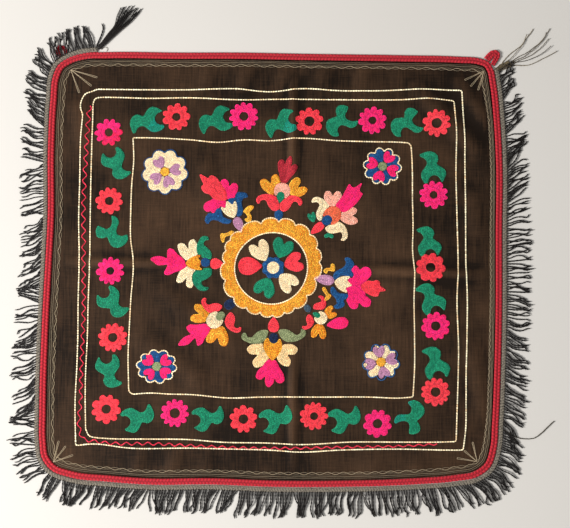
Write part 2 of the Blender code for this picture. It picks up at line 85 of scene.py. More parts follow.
# Folds that stand up from the floor: from x, from y, to x, to y, half width, height
FOLDS = [
    (22.6, 248.0, 22.5, 75.0, 5.2, 2.4), (22.4, -80.0, 22.4, -248.0, 5.2, 2.4),
    (-262.0, 7.5, -100.0, 4.0, 5.0, 1.9), (85.0, -3.0, 262.0, -9.5, 5.6, 2.8),
    (156.0, 230.0, 260.0, 120.0, 11.5, 3.4), (212.0, 236.0, 265.0, 162.0, 9.5, 2.8),
    (233.0, 99.0, 243.0, 27.0, 11.0, 2.2), (230.0, -70.0, 250.0, -193.0, 11.0, 2.2),
    (-150.0, -19.0, -26.0, -101.0, 13.0, 2.2), (-172.0, -73.0, -62.0, -151.0, 13.0, 2.0),
    (-237.0, 210.0, -226.0, 136.0, 11.0, 2.0), (-86.0, 142.0, -76.0, 56.0, 12.0, 1.7),
]
FOLD_FADE = 0.30
# Rows of puckers at the stitched edge: from x, to x, middle y, half depth, wavelength, height
PUCKERS = [
    (-145.0, 205.0, 233.0, 19.0, 47.0, 1.9), (-190.0, -60.0, -231.0, 17.0, 43.0, 1.7),
    (70.0, 200.0, -233.0, 15.0, 52.0, 1.2),
]
PUCKER_SLANT = 0.25
EDGE_FADE = 11.0
# Where the two pressed creases cross the cloth, as shares of its width and height
UPRIGHT_CREASE = 0.5425
LEVEL_CREASE = 0.502
LEVEL_CREASE_TILT = 0.031

# How the fringe lies, clockwise: place as a share of its length, lean in degrees, length, bend
FRINGE_LIE = [
    (0.000, -30.0, 21.5, 0.0), (0.035, -36.0, 25.0, -1.2), (0.090, -24.0, 29.0, 1.0),
    (0.150, -3.0, 28.5, 0.8), (0.210, 12.0, 28.5, -0.8), (0.290, 27.0, 27.5, 1.0),
    (0.330, -17.0, 30.0, 1.2), (0.370, -12.0, 29.0, -0.8), (0.430, 6.0, 29.0, -0.8),
    (0.475, 3.0, 29.5, 1.0), (0.498, 26.0, 29.5, 1.2), (0.530, 18.0, 28.0, -0.8),
    (0.575, 11.0, 27.5, -0.6), (0.630, 20.0, 27.0, 0.8), (0.655, 14.0, 28.0, -1.0),
    (0.675, -8.0, 29.0, -1.0), (0.700, -27.0, 29.0, 1.2), (0.745, -24.0, 28.5, 1.2),
    (0.785, -8.0, 28.0, -1.0), (0.805, -24.0, 28.0, 1.0), (0.845, -26.0, 28.0, 1.2),
    (0.872, -10.0, 27.0, -1.0), (0.895, 6.0, 27.0, 1.0), (0.930, 30.0, 26.5, 1.2),
    (0.968, 18.0, 28.5, 1.0), (1.000, -2.0, 28.0, 0.0),
]
# Unravelled warps at the heading's start, their bunched roots, then the threads that hang loose
WARP_ENDS = [
    [(267.0, 238.5), (272.2, 244.0), (280.0, 253.5), (298.3, 269.0), (306.2, 280.0), (311.9, 288.0)],
    [(268.0, 239.5), (276.5, 242.5), (289.6, 251.2), (305.6, 260.0), (318.8, 270.5), (327.0, 280.0),
     (331.8, 288.5)],
    [(270.0, 237.0), (276.5, 238.3), (286.0, 243.2), (301.5, 243.2), (313.5, 246.8), (325.7, 253.0),
     (340.3, 260.5)],
    [(269.0, 238.0), (278.0, 241.0), (293.2, 248.9), (307.7, 254.5), (319.9, 264.3), (330.8, 275.8)],
    [(268.5, 239.0), (277.5, 242.0), (289.0, 249.2), (303.0, 256.0), (314.5, 265.0), (325.0, 277.0),
     (327.5, 284.0)],
    [(267.5, 240.0), (274.0, 244.5), (281.5, 249.5), (291.5, 259.5), (300.5, 271.0), (304.0, 281.5)],
    [(269.5, 237.5), (279.0, 240.5), (290.0, 246.0), (303.5, 249.5), (318.0, 255.0), (333.0, 267.0)],
]
WARP_BUNCH = [(265.5, 238.5), (282.5, 247.0)]
BUNCH_STRANDS = 6
WARP_TONE = (0.46, 0.40, 0.29)
WARP_DRIFT = (0.24, 0.20, 0.16)
STRAY_THREAD = [(265.5, -190.5), (272.5, -192.8), (280.0, -197.0), (289.0, -200.8), (304.0, -201.2),
                (314.0, -194.5), (321.0, -188.0), (328.8, -181.0)]
BOTTOM_STRAND = [(101.0, -262.5), (107.0, -272.0), (112.5, -282.0), (120.0, -291.0)]
LITTLE_THREAD = [(-208.0, 262.5), (-205.5, 265.0), (-202.0, 265.5), (-200.5, 263.0), (-201.5, 260.5)]

# Lock of unravelled cords at the fringe's far end: x, y, width along its stem, then its tips
END_LOCK_STEM = [(-211.8, 264.0, 3.4), (-206.6, 269.2, 4.6), (-198.0, 279.0, 7.2), (-188.5, 289.5, 10.0)]
END_LOCK_TIPS = [
    (-185.0, 313.5), (-181.5, 315.0), (-178.5, 315.8), (-175.0, 315.6), (-171.5, 316.0),
    (-168.5, 314.6), (-165.0, 314.2), (-161.8, 313.2), (-158.2, 311.0),
]

# Hanging loops: foot point, then along the edge, outwards, braid width
RIGHT_LOOP_FOOT = (259.0, 247.5)
RIGHT_LOOP = [
    (-4.6, 0.4, 8.4), (-5.2, 5.8, 8.4), (-5.0, 11.4, 7.6), (-2.3, 14.4, 6.8), (0.6, 13.2, 6.4),
    (2.3, 9.4, 6.1), (3.7, 4.5, 5.8), (4.8, 1.0, 5.6),
]
LEFT_LOOP_FOOT = (-253.0, 256.0)
LEFT_LOOP = [
    (-3.8, 0.4, 4.8), (-4.4, 5.0, 4.6), (-3.4, 8.8, 4.4), (0.0, 10.8, 4.3), (3.4, 8.8, 4.4),
    (4.4, 5.0, 4.6), (3.8, 0.4, 4.8),
]

# Embroidered lines: x, y. A doubled point is a corner
OUTER_LINE = [
    (-211.4, 214.1), (-211.4, 214.1), (-149.0, 213.5), (-101.0, 213.5), (-47.0, 214.7), (-2.6, 211.0),
    (31.0, 214.7),
    (79.0, 212.3), (127.0, 212.3), (181.0, 214.1), (224.8, 212.3), (224.8, 212.3), (227.3, 164.9),
    (227.8, 110.5), (227.6, 44.5), (227.6, -3.1), (228.5, -26.9), (227.9, -74.2), (226.2, -121.2),
    (225.8, -156.4), (224.8, -191.4), (221.6, -214.6), (221.6, -214.6), (206.3, -214.6),
    (147.8, -213.5), (77.4, -214.6), (30.6, -216.9), (-4.6, -214.6), (-45.6, -213.5),
    (-98.3, -212.3), (-168.6, -212.3), (-215.6, -207.6), (-232.0, -209.4), (-232.0, -209.4),
    (-233.3, -156.4), (-232.0, -121.2), (-231.3, -86.0), (-231.4, -38.7), (-230.8, 8.8),
    (-232.1, 56.5), (-231.5, 104.5), (-231.0, 152.8), (-228.6, 183.1),
    (-228.6, 183.1), (-231.5, 191.6), (-229.3, 203.7), (-226.4, 208.6), (-226.4, 208.6),
]
SECOND_LINE = [
    (-196.9, 204.3), (-148.9, 203.1), (-101.0, 203.7), (-41.0, 201.3), (7.0, 201.9), (79.0, 201.3),
    (150.9, 201.3), (186.9, 202.5), (215.7, 200.1), (215.7, 200.1), (217.7, 164.9), (217.0, 109.3),
    (217.6, 56.5), (218.1, -3.1), (216.5, -38.7), (217.6, -97.7), (216.6, -133.0), (215.1, -168.1),
    (213.5, -204.7), (213.5, -204.7), (194.7, -205.3), (147.8, -205.3), (89.2, -205.3),
    (30.6, -208.2), (-4.6, -206.5), (-63.2, -205.3), (-98.4, -202.4), (-145.3, -201.8),
    (-192.2, -201.3), (-207.0, -200.4), (-207.0, -200.4), (-216.5, -198.0), (-220.6, -190.0),
    (-220.6, -190.0), (-221.5, -156.4), (-221.4, -121.2),
    (-220.1, -86.0), (-219.5, -38.7), (-218.4, 8.8), (-218.4, 56.5), (-218.3, 92.5),
    (-217.7, 140.7), (-217.0, 177.0), (-216.9, 196.0), (-216.9, 196.0), (-214.5, 202.5),
    (-208.0, 204.4), (-208.0, 204.4),
]
SQUARE_LINE = [
    (-168.5, 155.2), (-168.5, 155.2), (-148.5, 155.2), (-100.6, 152.8), (-67.1, 149.8), (-34.8, 152.8),
    (-4.9, 151.6), (25.0, 154.6), (78.8, 151.6), (120.6, 150.4), (150.5, 149.8), (160.8, 149.0),
    (160.8, 149.0),
    (163.8, 145.5), (163.8, 145.5), (164.7, 128.6), (164.9, 80.5), (165.2, 44.5), (164.4, 20.7),
    (166.5, -5.5),
    (165.7, -38.7), (165.9, -74.2), (165.5, -121.2), (163.5, -152.9), (163.5, -152.9),
    (148.2, -154.0), (112.9, -152.9), (54.2, -152.9), (-16.4, -152.9), (-51.7, -154.0),
    (-98.7, -149.9), (-122.2, -149.4), (-145.8, -148.2), (-166.4, -149.6), (-166.4, -149.6),
    (-170.6, -146.0),
    (-170.6, -146.0), (-171.6, -97.7), (-170.7, -74.2), (-169.2, -38.7), (-166.8, 8.8), (-170.0, 32.6),
    (-170.3, 68.5), (-169.5, 98.5), (-167.4, 128.6),
]
ZIGZAG_LINE = [
    (-220.8, 194.0), (-222.8, 164.9), (-224.7, 128.6), (-226.5, 80.5), (-225.7, 20.7),
    (-225.2, -15.0), (-224.7, -50.6), (-226.3, -109.5), (-226.8, -156.4), (-227.5, -191.4),
    (-223.9, -200.7), (-209.8, -204.2), (-192.1, -206.5), (-145.2, -207.1), (-86.6, -210.0),
    (-28.0, -212.3), (30.6, -212.3), (89.2, -211.1), (147.8, -210.0), (191.2, -207.6),
]
ZIGZAG_PERIODS = (13.6, 11.8)
ZIGZAG_SWINGS = (2.6, 1.15)

# Rays of doubled thread at the corners: start, then the ends that it spreads to
CORNER_RAYS = [
    ((-244.2, 237.9), [(-212.2, 228.5), (-219.3, 218.3), (-233.6, 209.8)]),
    ((252.1, 236.6), [(228.6, 225.1), (235.7, 217.7), (244.6, 212.9)]),
    ((-258.0, -228.5), [(-252.0, -204.2), (-243.7, -210.0), (-235.3, -220.4)]),
    ((237.8, -228.0), [(232.8, -205.3), (222.7, -215.2), (214.4, -223.9)]),
]

# Border flowers: x, y, yarn
BORDER_FLOWERS = [
    (-197.6, 161.9, "pink"), (-117.0, 180.6, "coral"), (-36.1, 181.3, "pink"), (42.3, 175.2, "coral"),
    (117.8, 176.4, "pink"), (194.4, 172.8, "coral"), (190.0, 86.5, "pink"), (185.6, -0.2, "coral"),
    (191.0, -69.5, "pink"), (190.0, -147.0, "coral"), (-196.7, -166.9, "coral"),
    (-116.2, -171.6, "pink"), (-35.7, -178.5, "coral"), (47.1, -175.1, "coral"),
    (121.6, -183.8, "pink"), (-196.1, 79.3, "coral"), (-193.9, -4.3, "pink"), (-190.0, -83.0, "coral"),
]
FLOWER_RADIUS = 17.1
FLOWER_PETALS = (9, 10, 11)
FLOWER_ROUNDNESS = 2.6
PETAL_DRIFT = 0.045
FLOWER_CLEFTS = (4.6, 6.2)
FLOWER_HOLES = (4.8, 6.3)

# The flower that was finished in a second yarn, on the side that this direction points to
TWO_TONE_FLOWER = (-197.6, 161.9)
TWO_TONE_YARN = "crimson"
TWO_TONE_WAY = (0.6, -0.8)
TWO_TONE_START = -248.1 + 3.0

# Border leaves: form, x, y, turn in degrees, size, yarn of the lobe next to the flower
BORDER_LEAVES = [
    ("broad", -152.0, 176.4, 0, 1.0, "teal"), ("broad", -70.0, 177.2, 5, 1.0, "green"),
    ("broad", 8.6, 173.3, 11, 0.97, "teal"), ("slim", 81.2, 174.8, 0, 1.0, "green"),
    ("slim", 159.8, 171.8, -16, 1.0, "green"), ("broad", 189.2, 119.0, -90, 0.97, "green"),
    ("broad", 183.8, 30.1, -90, 0.91, "green"), ("broad", 186.2, -37.5, -75, 0.96, "green"),
    ("broad", 190.9, -113.4, -86, 0.97, "green"), ("broad", -159.6, -178.1, 187, 0.95, "green"),
    ("broad", -77.4, -178.1, 180, 0.92, "green"), ("broad", 2.6, -179.5, 188, 0.95, "green"),
    ("broad", 82.7, -179.5, 185, 0.95, "green"), ("slim", 159.8, -176.6, 200, 1.0, "teal"),
    ("broad", -189.4, 123.4, 106, 0.95, "green"), ("slim", -191.6, 42.3, 92, 1.0, "green"),
    ("broad", -191.7, -42.6, 118, 0.95, "green"), ("broad", -194.5, -122.7, 93, 0.95, "green"),
]

# Medallion
MEDALLION = (-3.1, -1.0)
ROSE = (-1.0, -0.4)
RING_INNER = 43.4
RING_SWELL = 0.31
# Where two scallops of the ring meet: degrees, then distance from the medallion's middle
RING_CUSPS = [
    (81.0, 54.6), (60.5, 57.0), (41.0, 59.0), (24.0, 56.5), (7.0, 55.5), (-14.0, 51.0), (-38.0, 51.5),
    (-60.0, 53.0), (-74.0, 53.2), (-89.0, 54.4), (-104.0, 52.6), (-122.0, 53.6), (-142.0, 54.6),
    (-165.0, 54.4), (-187.0, 53.8), (-201.0, 56.0), (-214.0, 57.4), (-230.0, 54.4), (-257.0, 52.8),
]
CENTRE_ROSE = 13.6
CENTRE_DISC = 7.5
HEARTS = [
    ("heart", "cream", -9.4, 7.0, -22.0, 30.5, 24.0), ("heart", "green", 5.4, 10.6, 13.9, 34.0, 25.5),
    ("heart", "coral", 11.0, 2.2, 34.4, 8.6, 24.0), ("heart", "cream", 6.0, -7.6, 24.6, -25.6, 23.0),
    ("heart", "green", -5.0, -11.4, -15.2, -34.2, 26.0), ("drop", "coral", -13.0, 1.6, -42.4, 1.4, 22.6),
]

# Corner rosettes: x, y, radius across, radius up, scallops, ground, heart and rim yarn, eye yarn,
# and the turns of their hearts in degrees
ROSETTES = [
    (-130.2, 114.4, 28.4, 28.4, 9, "cream", "lilac", "blue", "yellow", (121, 10, -70, -143)),
    (129.4, 120.8, 23.4, 23.4, 10, "blue", "magenta", "cream", "sage", (55, 164, -108, -22)),
    (-137.8, -117.1, 24.6, 20.8, 10, "blue", "magenta", "cream", "sage", (38, 140, -130, -42)),
    (126.1, -111.9, 22.6, 22.6, 9, "cream", "lilac", "blue", "yellow", (100, 15, -75, 190)),
]
ROSETTE_EYE = 5.6
ROSETTE_CLEFT = 5.8
ROSETTE_HEART = (4.6, 19.4, 14.6)

# Palmettes round the medallion, each shape under the ones before it:
# shape, yarn, foot x, foot y, head x, head y, width
PALMETTES = {
    "top": [
        ("drop", "green", 6.6, 76.1, 8.6, 90.3, 9.5), ("round", "salmon", 9.2, 81.3, 10.0, 101.1, 19.5),
        ("drop", "blue", 5.2, 54.6, 5.9, 68.1, 11.1), ("sepal", "coral", 6.8, 66.6, 32.1, 73.5, 17.0),
        ("sepal", "coral", 5.8, 66.6, -19.9, 76.3, -17.0),
        ("three lobes", "dark_red", 11.1, 100.8, 19.1, 131.7, 23.3),
        ("twin", "gold", 1.8, 87.0, -7.4, 108.9, 24.4), ("twin", "gold", 17.2, 86.5, 35.4, 100.8, 22.7),
    ],
    "top right": [
        ("round", "blue", 57.9, 51.6, 67.8, 60.4, 11.3),
        ("round", "tangerine", 60.5, 53.1, 77.3, 70.3, 20.4),
        ("drop", "coral", 42.9, 39.2, 59.4, 53.1, 10.6), ("sepal", "cream", 54.5, 54.7, 44.3, 78.7, -18.3),
        ("sepal", "cream", 60.2, 46.7, 80.6, 31.3, 18.3),
        ("wedge", "magenta", 76.1, 68.0, 106.3, 102.5, 22.7),
        ("heart", "salmon", 69.7, 69.5, 70.2, 91.8, 21.6),
        ("heart", "salmon", 75.3, 60.0, 100.0, 61.9, 21.6),
        ("heart", "green", 47.7, 52.8, 43.1, 65.7, 9.8), ("heart", "green", 65.4, 41.7, 65.0, 34.5, 12.1),
    ],
    "right": [
        ("drop", "lilac", 46.6, -12.4, 71.5, -16.6, 12.7),
        ("tulip", "cream", 71.0, -16.7, 89.5, -21.0, 20.0),
        ("spear", "coral", 102.5, -22.6, 132.0, -27.6, 19.6),
        ("fork", "blue", 71.0, -14.2, 82.6, 11.2, 20.8),
        ("fork", "blue", 69.3, -22.8, 69.2, -46.9, -20.0),
        ("jagged", "magenta", 86.5, -21.2, 118.5, -26.3, 50.0),
        ("curl", "yellow", 62.8, -7.1, 69.3, 5.8, -12.7),
        ("vee", "yellow", 60.6, -40.2, 57.4, -23.0, -18.0),
    ],
    "bottom right": [
        ("round", "slate", 36.9, -44.4, 42.6, -53.2, 8.2), ("drop", "green", 44.9, -53.4, 54.8, -58.5, 6.5),
        ("round", "cream", 49.8, -54.3, 60.8, -65.5, 15.3),
        ("sepal", "coral", 46.4, -49.5, 52.3, -34.0, -13.6),
        ("sepal", "coral", 41.8, -54.9, 32.8, -69.9, 11.2),
        ("drop", "magenta", 61.0, -68.8, 88.2, -64.4, 14.6),
        ("twin", "orange", 59.1, -58.0, 72.3, -50.2, 15.0),
        ("twin", "orange", 54.0, -66.5, 51.9, -84.7, 18.4),
    ],
    "bottom": [
        ("round", "navy", -0.4, -77.3, -0.4, -90.1, 11.3),
        ("drop", "coral", -0.4, -58.1, -0.4, -77.1, 14.1),
        ("drop", "orange", -1.9, -110.9, -1.0, -81.6, 23.3),
        ("sepal", "olive", -6.3, -74.9, -35.6, -77.3, 15.3),
        ("sepal", "olive", 4.4, -74.9, 34.4, -73.2, -15.3),
        ("three lobes", "magenta", -2.4, -109.2, -5.7, -140.0, 33.1),
        ("twin", "sand", -3.8, -96.8, -28.6, -107.5, 28.4),
        ("twin", "sand", 3.6, -96.8, 23.9, -107.5, 27.2),
    ],
    "bottom left": [
        ("round", "sage", -59.0, -53.4, -67.4, -62.1, 9.2),
        ("round", "navy", -46.0, -39.8, -58.5, -47.8, 11.9),
        ("round", "cream", -62.0, -54.9, -77.2, -69.9, 19.1),
        ("sepal", "coral", -60.2, -47.1, -80.9, -35.9, 14.6),
        ("sepal", "coral", -51.5, -52.4, -38.2, -72.0, -14.6),
        ("flame", "magenta", -74.6, -68.5, -114.2, -93.0, 27.2),
        ("twin", "gold", -74.3, -59.0, -97.0, -52.6, 22.5),
        ("twin", "gold", -63.7, -68.9, -68.3, -92.2, 27.2),
    ],
    "left": [
        ("round", "blue", -75.7, 5.9, -87.0, 5.7, 11.0), ("drop", "coral", -59.4, 4.0, -75.8, 4.5, 13.8),
        ("tulip", "orange", -105.6, 4.4, -84.8, 5.9, 18.2),
        ("sepal", "green", -74.9, 9.3, -77.5, 35.1, 16.6),
        ("sepal", "green", -74.9, -0.2, -77.2, -25.9, -22.7),
        ("flame", "magenta", -103.0, 2.8, -147.7, 10.4, 31.8),
        ("twin", "cream", -96.0, 6.2, -105.0, 31.7, 23.4),
        ("twin", "cream", -96.6, 3.3, -107.6, -22.2, 21.9),
    ],
    "top left": [
        ("drop", "lilac", -38.0, 41.6, -45.6, 59.7, 11.8),
        ("tulip", "cream", -47.4, 58.6, -55.2, 76.7, 19.9),
        ("spear", "coral", -56.4, 80.5, -88.2, 111.0, 22.7),
        ("fork", "blue", -42.8, 60.4, -29.9, 83.4, -21.6),
        ("fork", "blue", -50.3, 55.2, -78.5, 50.6, 18.7),
        ("jagged", "magenta", -54.1, 74.4, -74.4, 92.5, 47.4),
        ("curl", "yellow", -34.1, 56.7, -23.5, 73.3, 14.5),
        ("vee", "yellow", -61.6, 29.6, -46.5, 42.2, 20.0),
    ],
}

# Shapes of embroidered leaves and petals, from a foot at 0, 0 to a head at 0, 1:
# across as a share of the width, along as a share of the length. A doubled point is a corner
SHAPES = {
    "drop": [(0, 0), (0, 0), (-0.30, 0.26), (-0.48, 0.58), (-0.38, 0.88), (0, 1), (0.38, 0.88),
             (0.48, 0.58), (0.30, 0.26)],
    "round": [(0, 0), (-0.36, 0.14), (-0.50, 0.50), (-0.36, 0.86), (0, 1), (0.36, 0.86),
              (0.50, 0.50), (0.36, 0.14)],
    "heart": [(0, 0), (0, 0), (-0.34, 0.30), (-0.50, 0.66), (-0.36, 0.97), (-0.14, 0.93), (0, 0.70),
              (0, 0.70), (0.14, 0.93), (0.36, 0.97), (0.50, 0.66), (0.34, 0.30)],
    "twin": [(-0.10, 0), (-0.36, 0.26), (-0.50, 0.62), (-0.42, 0.96), (-0.20, 0.96), (0, 0.60),
             (0, 0.60), (0.18, 0.92), (0.40, 0.96), (0.50, 0.66), (0.38, 0.26), (0.10, 0)],
    "tulip": [(0, 0), (0, 0), (-0.30, 0.26), (-0.46, 0.62), (-0.52, 1.04), (-0.52, 1.04),
              (-0.26, 0.76), (-0.26, 0.76), (-0.12, 0.98), (0, 1.20), (0, 1.20), (0.12, 0.98),
              (0.22, 0.78), (0.22, 0.78), (0.38, 0.92), (0.50, 1.04), (0.50, 1.04), (0.46, 0.62),
              (0.30, 0.26)],
    "sepal": [(0, 0), (0, 0), (-0.52, 0.10), (-0.87, 0.29), (-0.92, 0.64), (-0.73, 0.92),
              (-0.40, 1.11), (-0.10, 1.08), (0.05, 0.90), (0.05, 0.90), (-0.27, 0.89),
              (-0.42, 0.73), (-0.13, 0.53), (0.08, 0.32), (0.08, 0.12)],
    "curl": [(-0.17, -0.01), (-0.17, -0.01), (0.05, 0.16), (-0.22, 0.31), (-0.55, 0.32),
             (-0.55, 0.32), (-0.52, 0.55), (-0.34, 0.88), (0, 1), (0, 1), (0.06, 0.79),
             (-0.04, 0.53), (0.28, 0.38), (0.45, 0.07), (0.20, -0.08)],
    "fork": [(-0.09, 0.04), (-0.08, 0.36), (0.18, 0.60), (0.24, 0.84), (0.01, 0.99), (0.01, 0.99),
             (0.20, 1.10), (0.50, 1.06), (0.72, 0.92), (0.66, 0.66), (0.66, 0.66), (0.94, 0.50),
             (0.90, 0.36), (0.66, 0.34), (0.40, 0.32), (0.16, 0.12), (0.07, -0.01)],
    "vee": [(-0.05, 0), (-0.05, 0), (-0.30, 0.10), (-0.52, 0.32), (-0.52, 0.32), (-0.34, 0.44),
            (-0.26, 0.62), (-0.22, 0.84), (-0.10, 1.0), (-0.10, 1.0), (0.06, 0.92), (0.02, 0.68),
            (-0.08, 0.50), (-0.12, 0.34), (0.0, 0.20), (0.10, 0.04)],
    "three lobes": [(-0.12, 0), (-0.30, 0.26), (-0.48, 0.52), (-0.52, 0.74), (-0.38, 0.86),
                    (-0.22, 0.80), (-0.18, 0.66), (-0.18, 0.66), (-0.13, 0.90), (0.02, 1.06),
                    (0.15, 0.92), (0.17, 0.64), (0.17, 0.64), (0.32, 0.80), (0.50, 0.74),
                    (0.47, 0.50), (0.30, 0.26), (0.12, 0)],
    "flame": [(0, 0), (-0.22, 0.12), (-0.36, 0.30), (-0.50, 0.45), (-0.46, 0.56), (-0.25, 0.52),
              (-0.10, 0.50), (-0.10, 0.50), (-0.17, 0.64), (-0.20, 0.75), (-0.12, 0.87), (0, 1),
              (0, 1), (0.14, 0.82), (0.16, 0.68), (0.11, 0.54), (0.11, 0.54), (0.30, 0.57),
              (0.48, 0.56), (0.50, 0.44), (0.34, 0.30), (0.20, 0.12)],
    "wedge": [(-0.19, 0.01), (-0.33, 0.37), (-0.51, 0.74), (-0.51, 0.74), (-0.23, 0.70), (0, 1),
              (0, 1), (0.22, 0.75), (0.42, 0.76), (0.42, 0.76), (0.49, 0.47), (0.19, 0.02)],
    "spear": [(0, 0), (-0.28, 0.12), (-0.44, 0.28), (-0.42, 0.44), (-0.42, 0.44), (-0.54, 0.56),
              (-0.50, 0.70), (-0.34, 0.75), (-0.25, 0.73), (-0.25, 0.73), (-0.16, 0.87), (0, 1.06),
              (0, 1.06), (0.08, 0.90), (0.15, 0.76), (0.15, 0.76), (0.34, 0.78), (0.47, 0.66),
              (0.44, 0.46), (0.36, 0.28), (0.22, 0.10)],
    "jagged": [(0, 0), (-0.22, -0.04), (-0.42, 0.04), (-0.50, 0.22), (-0.40, 0.38), (-0.40, 0.38),
               (-0.50, 0.52), (-0.48, 0.72), (-0.34, 0.82), (-0.20, 0.70), (-0.20, 0.70),
               (0.0, 0.80), (0.16, 0.70), (0.16, 0.70), (0.28, 0.96), (0.42, 0.92), (0.44, 0.70),
               (0.36, 0.52), (0.36, 0.52), (0.50, 0.50), (0.54, 0.32), (0.42, 0.12),
               (0.22, -0.02)],
}
# The border's hooked leaves, in millimetres round their middle
LEAVES = {
    "broad": [
        (-16.5, -16.5), (-16.5, -16.5), (-20.0, -7.8), (-20.3, -0.9), (-16.5, 5.2), (-12.2, 7.1),
        (-4.8, 4.8), (-4.8, 4.8), (-1.7, 9.6), (1.7, 14.4), (6.1, 16.7), (12.6, 14.8), (20.0, 10.6),
        (20.0, 10.6), (15.7, 10.0), (11.2, 7.0), (9.2, 2.6), (10.6, -2.2), (15.2, -5.2), (20.4, -4.8),
        (20.4, -4.8), (20.9, -9.1), (20.9, -9.1), (14.8, -13.0), (6.5, -14.2), (0.0, -10.0), (-4.3, -7.2),
        (-8.7, -7.8), (-12.2, -11.6), (-14.6, -16.2),
    ],
    "slim": [
        (-19.3, -4.4), (-17.2, 1.5), (-10.4, 5.0), (-5.9, 6.5), (-5.9, 6.5), (-7.4, 13.3), (-5.3, 18.7),
        (1.5, 20.2), (8.3, 17.8), (8.3, 17.8), (5.9, 12.5), (3.6, 6.5), (6.5, 2.4), (11.9, 0.6),
        (19.9, 1.5), (19.9, 1.5), (17.8, -4.4), (11.3, -7.7), (4.4, -5.3), (-1.5, -4.4), (-5.3, -8.9),
        (-3.0, -17.8), (-3.0, -17.8), (-10.4, -17.8), (-16.3, -13.3),
    ],
}
LOBE_START = 5.0
NEAR_FLOWER = 48.0

# One chain stitch lying along x, 1 long, 1 wide and 1 high: two ridges with a groove between
STITCH_POINTS = [
    (0.0, 0.0, 0.10),
    (0.22, -0.50, 0.0), (0.22, -0.29, 0.86), (0.22, 0.0, 0.40), (0.22, 0.29, 0.86), (0.22, 0.50, 0.0),
    (0.80, -0.46, 0.0), (0.80, -0.25, 1.0), (0.80, 0.0, 0.55), (0.80, 0.25, 1.0), (0.80, 0.46, 0.0),
    (1.14, 0.0, 0.30),
]
STITCH_FACES = [
    (0, 2, 1), (0, 3, 2), (0, 4, 3), (0, 5, 4), (11, 6, 7), (11, 7, 8), (11, 8, 9), (11, 9, 10),
    (1, 2, 7), (1, 7, 6), (2, 3, 8), (2, 8, 7), (3, 4, 9), (3, 9, 8), (4, 5, 10), (4, 10, 9),
    (0, 1, 5), (1, 6, 5), (5, 6, 10), (6, 11, 10),
]

# The braid's section: across and up as shares of its half width and height
BRAID_SECTION = [
    (-0.94, 0.0), (-1.0, 0.42), (-0.87, 0.84), (-0.54, 1.0), (-0.20, 0.86), (0.0, 0.64),
    (0.20, 0.86), (0.54, 1.0), (0.87, 0.84), (1.0, 0.42), (0.94, 0.0),
]
BRAID_STEP = 0.72
LOOP_STEP = 0.45
RIB_SLANT = (0.30, 0.5)
# Height at the foot of a rib and what its crest adds, then the same for its painted shade, lighter on the
# crests
RIB_RISE = (0.80, 0.20)
RIB_SHADE = (0.46, 0.62)
RIB_BULGE = 0.05
# The groove between the braid's ridges, darkened by painted shade: depth of that shade, half width as a share
GROOVE_SHADE = (0.42, 0.16)
# The heading's section, from its sewn edge outwards, and which of its rows have specks
HEADING_SECTION = [
    (0.0, 0.0), (0.04, 0.70), (0.22, 1.0), (0.42, 0.94), (0.60, 0.98), (0.80, 0.94), (0.97, 0.72),
    (1.0, 0.0),
]
HEADING_STEP = 1.1
KNOT_RISE = (0.86, 0.14)
# Knots: tone of the low ones and what a raised one adds, as painted light and shade
KNOT_SHADE = (0.86, 0.24)
SPECK_ROWS = [0, 0, 0, 0, 1, 1, 1, 1]
SPECK_EVERY = 3
SPECK_REACH = 0.34
SPECK_SHADE = 0.35


def linear(red, green, blue):
    """A colour as seen on a screen, from 0 to 1, in linear light."""
    return tuple(c / 12.92 if c <= 0.04045 else ((c + 0.055) / 1.055) ** 2.4 for c in (red, green, blue))


def colour(title, words, seen):
    return bpy.props.FloatVectorProperty(
        name=title, description=words, subtype="COLOR", size=3, min=0.0, max=1.0, default=linear(*seen))


def length(title, words, size):
    return bpy.props.FloatProperty(
        name=title, description=words, subtype="DISTANCE", unit="LENGTH", min=0.0, default=size)


class SuzaniSizes(bpy.types.PropertyGroup):
    """Sizes that a maker would choose for the cloth, its stitches and its trimmings"""

    cloth_thickness: length("Cloth thickness", "Thickness of the cotton satin", 0.0009)
    row_spacing: length("Row spacing", "Distance between rows of chain stitch", 0.00125)
    stitch_length: length("Stitch length", "Length of one chain stitch in a filled motif", 0.0022)
    stitch_height: length("Stitch height", "How far a chain stitch stands off the cloth", 0.0009)
    line_width: length("Line width", "Width of the chain-stitched cream lines", 0.00175)
    binding_width: length("Binding width", "Width of the red braid", BINDING_WIDTH * MM)
    binding_height: length("Binding height", "Height of the red braid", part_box("red_binding")[1].z)
    rib_pitch: length("Rib pitch", "Distance between the ribs of the braid", 0.0040)
    cord_diameter: length("Cord diameter", "Thickness of one twisted fringe cord", 0.0018)
    cord_twist: length("Cord twist", "Length of one full twist of a fringe cord", 0.0085)
    thread_diameter: length("Thread diameter", "Thickness of the couched edge threads", 0.0006)


class SuzaniColours(bpy.types.PropertyGroup):
    """Colours of the cloth, the yarns and the stage"""

    cloth: colour("Cloth", "Ground cloth", (0.104, 0.073, 0.049))
    cloth_worn_and_lit: colour("Worn cloth", "Ground cloth where it is worn and lit", (0.315, 0.226, 0.157))
    braid: colour("Braid", "Braid of the binding and loops", (0.78, 0.145, 0.20))
    tape: colour("Heading tape", "Woven heading of the fringe", (0.55, 0.51, 0.45))
    cord: colour("Cord", "Twisted cords of the fringe", (0.086, 0.062, 0.048))
    edge_thread: colour("Edge thread", "Couched threads near the binding", (0.63, 0.56, 0.45))
    floor: colour("Floor", "Studio floor", (0.81, 0.79, 0.76))


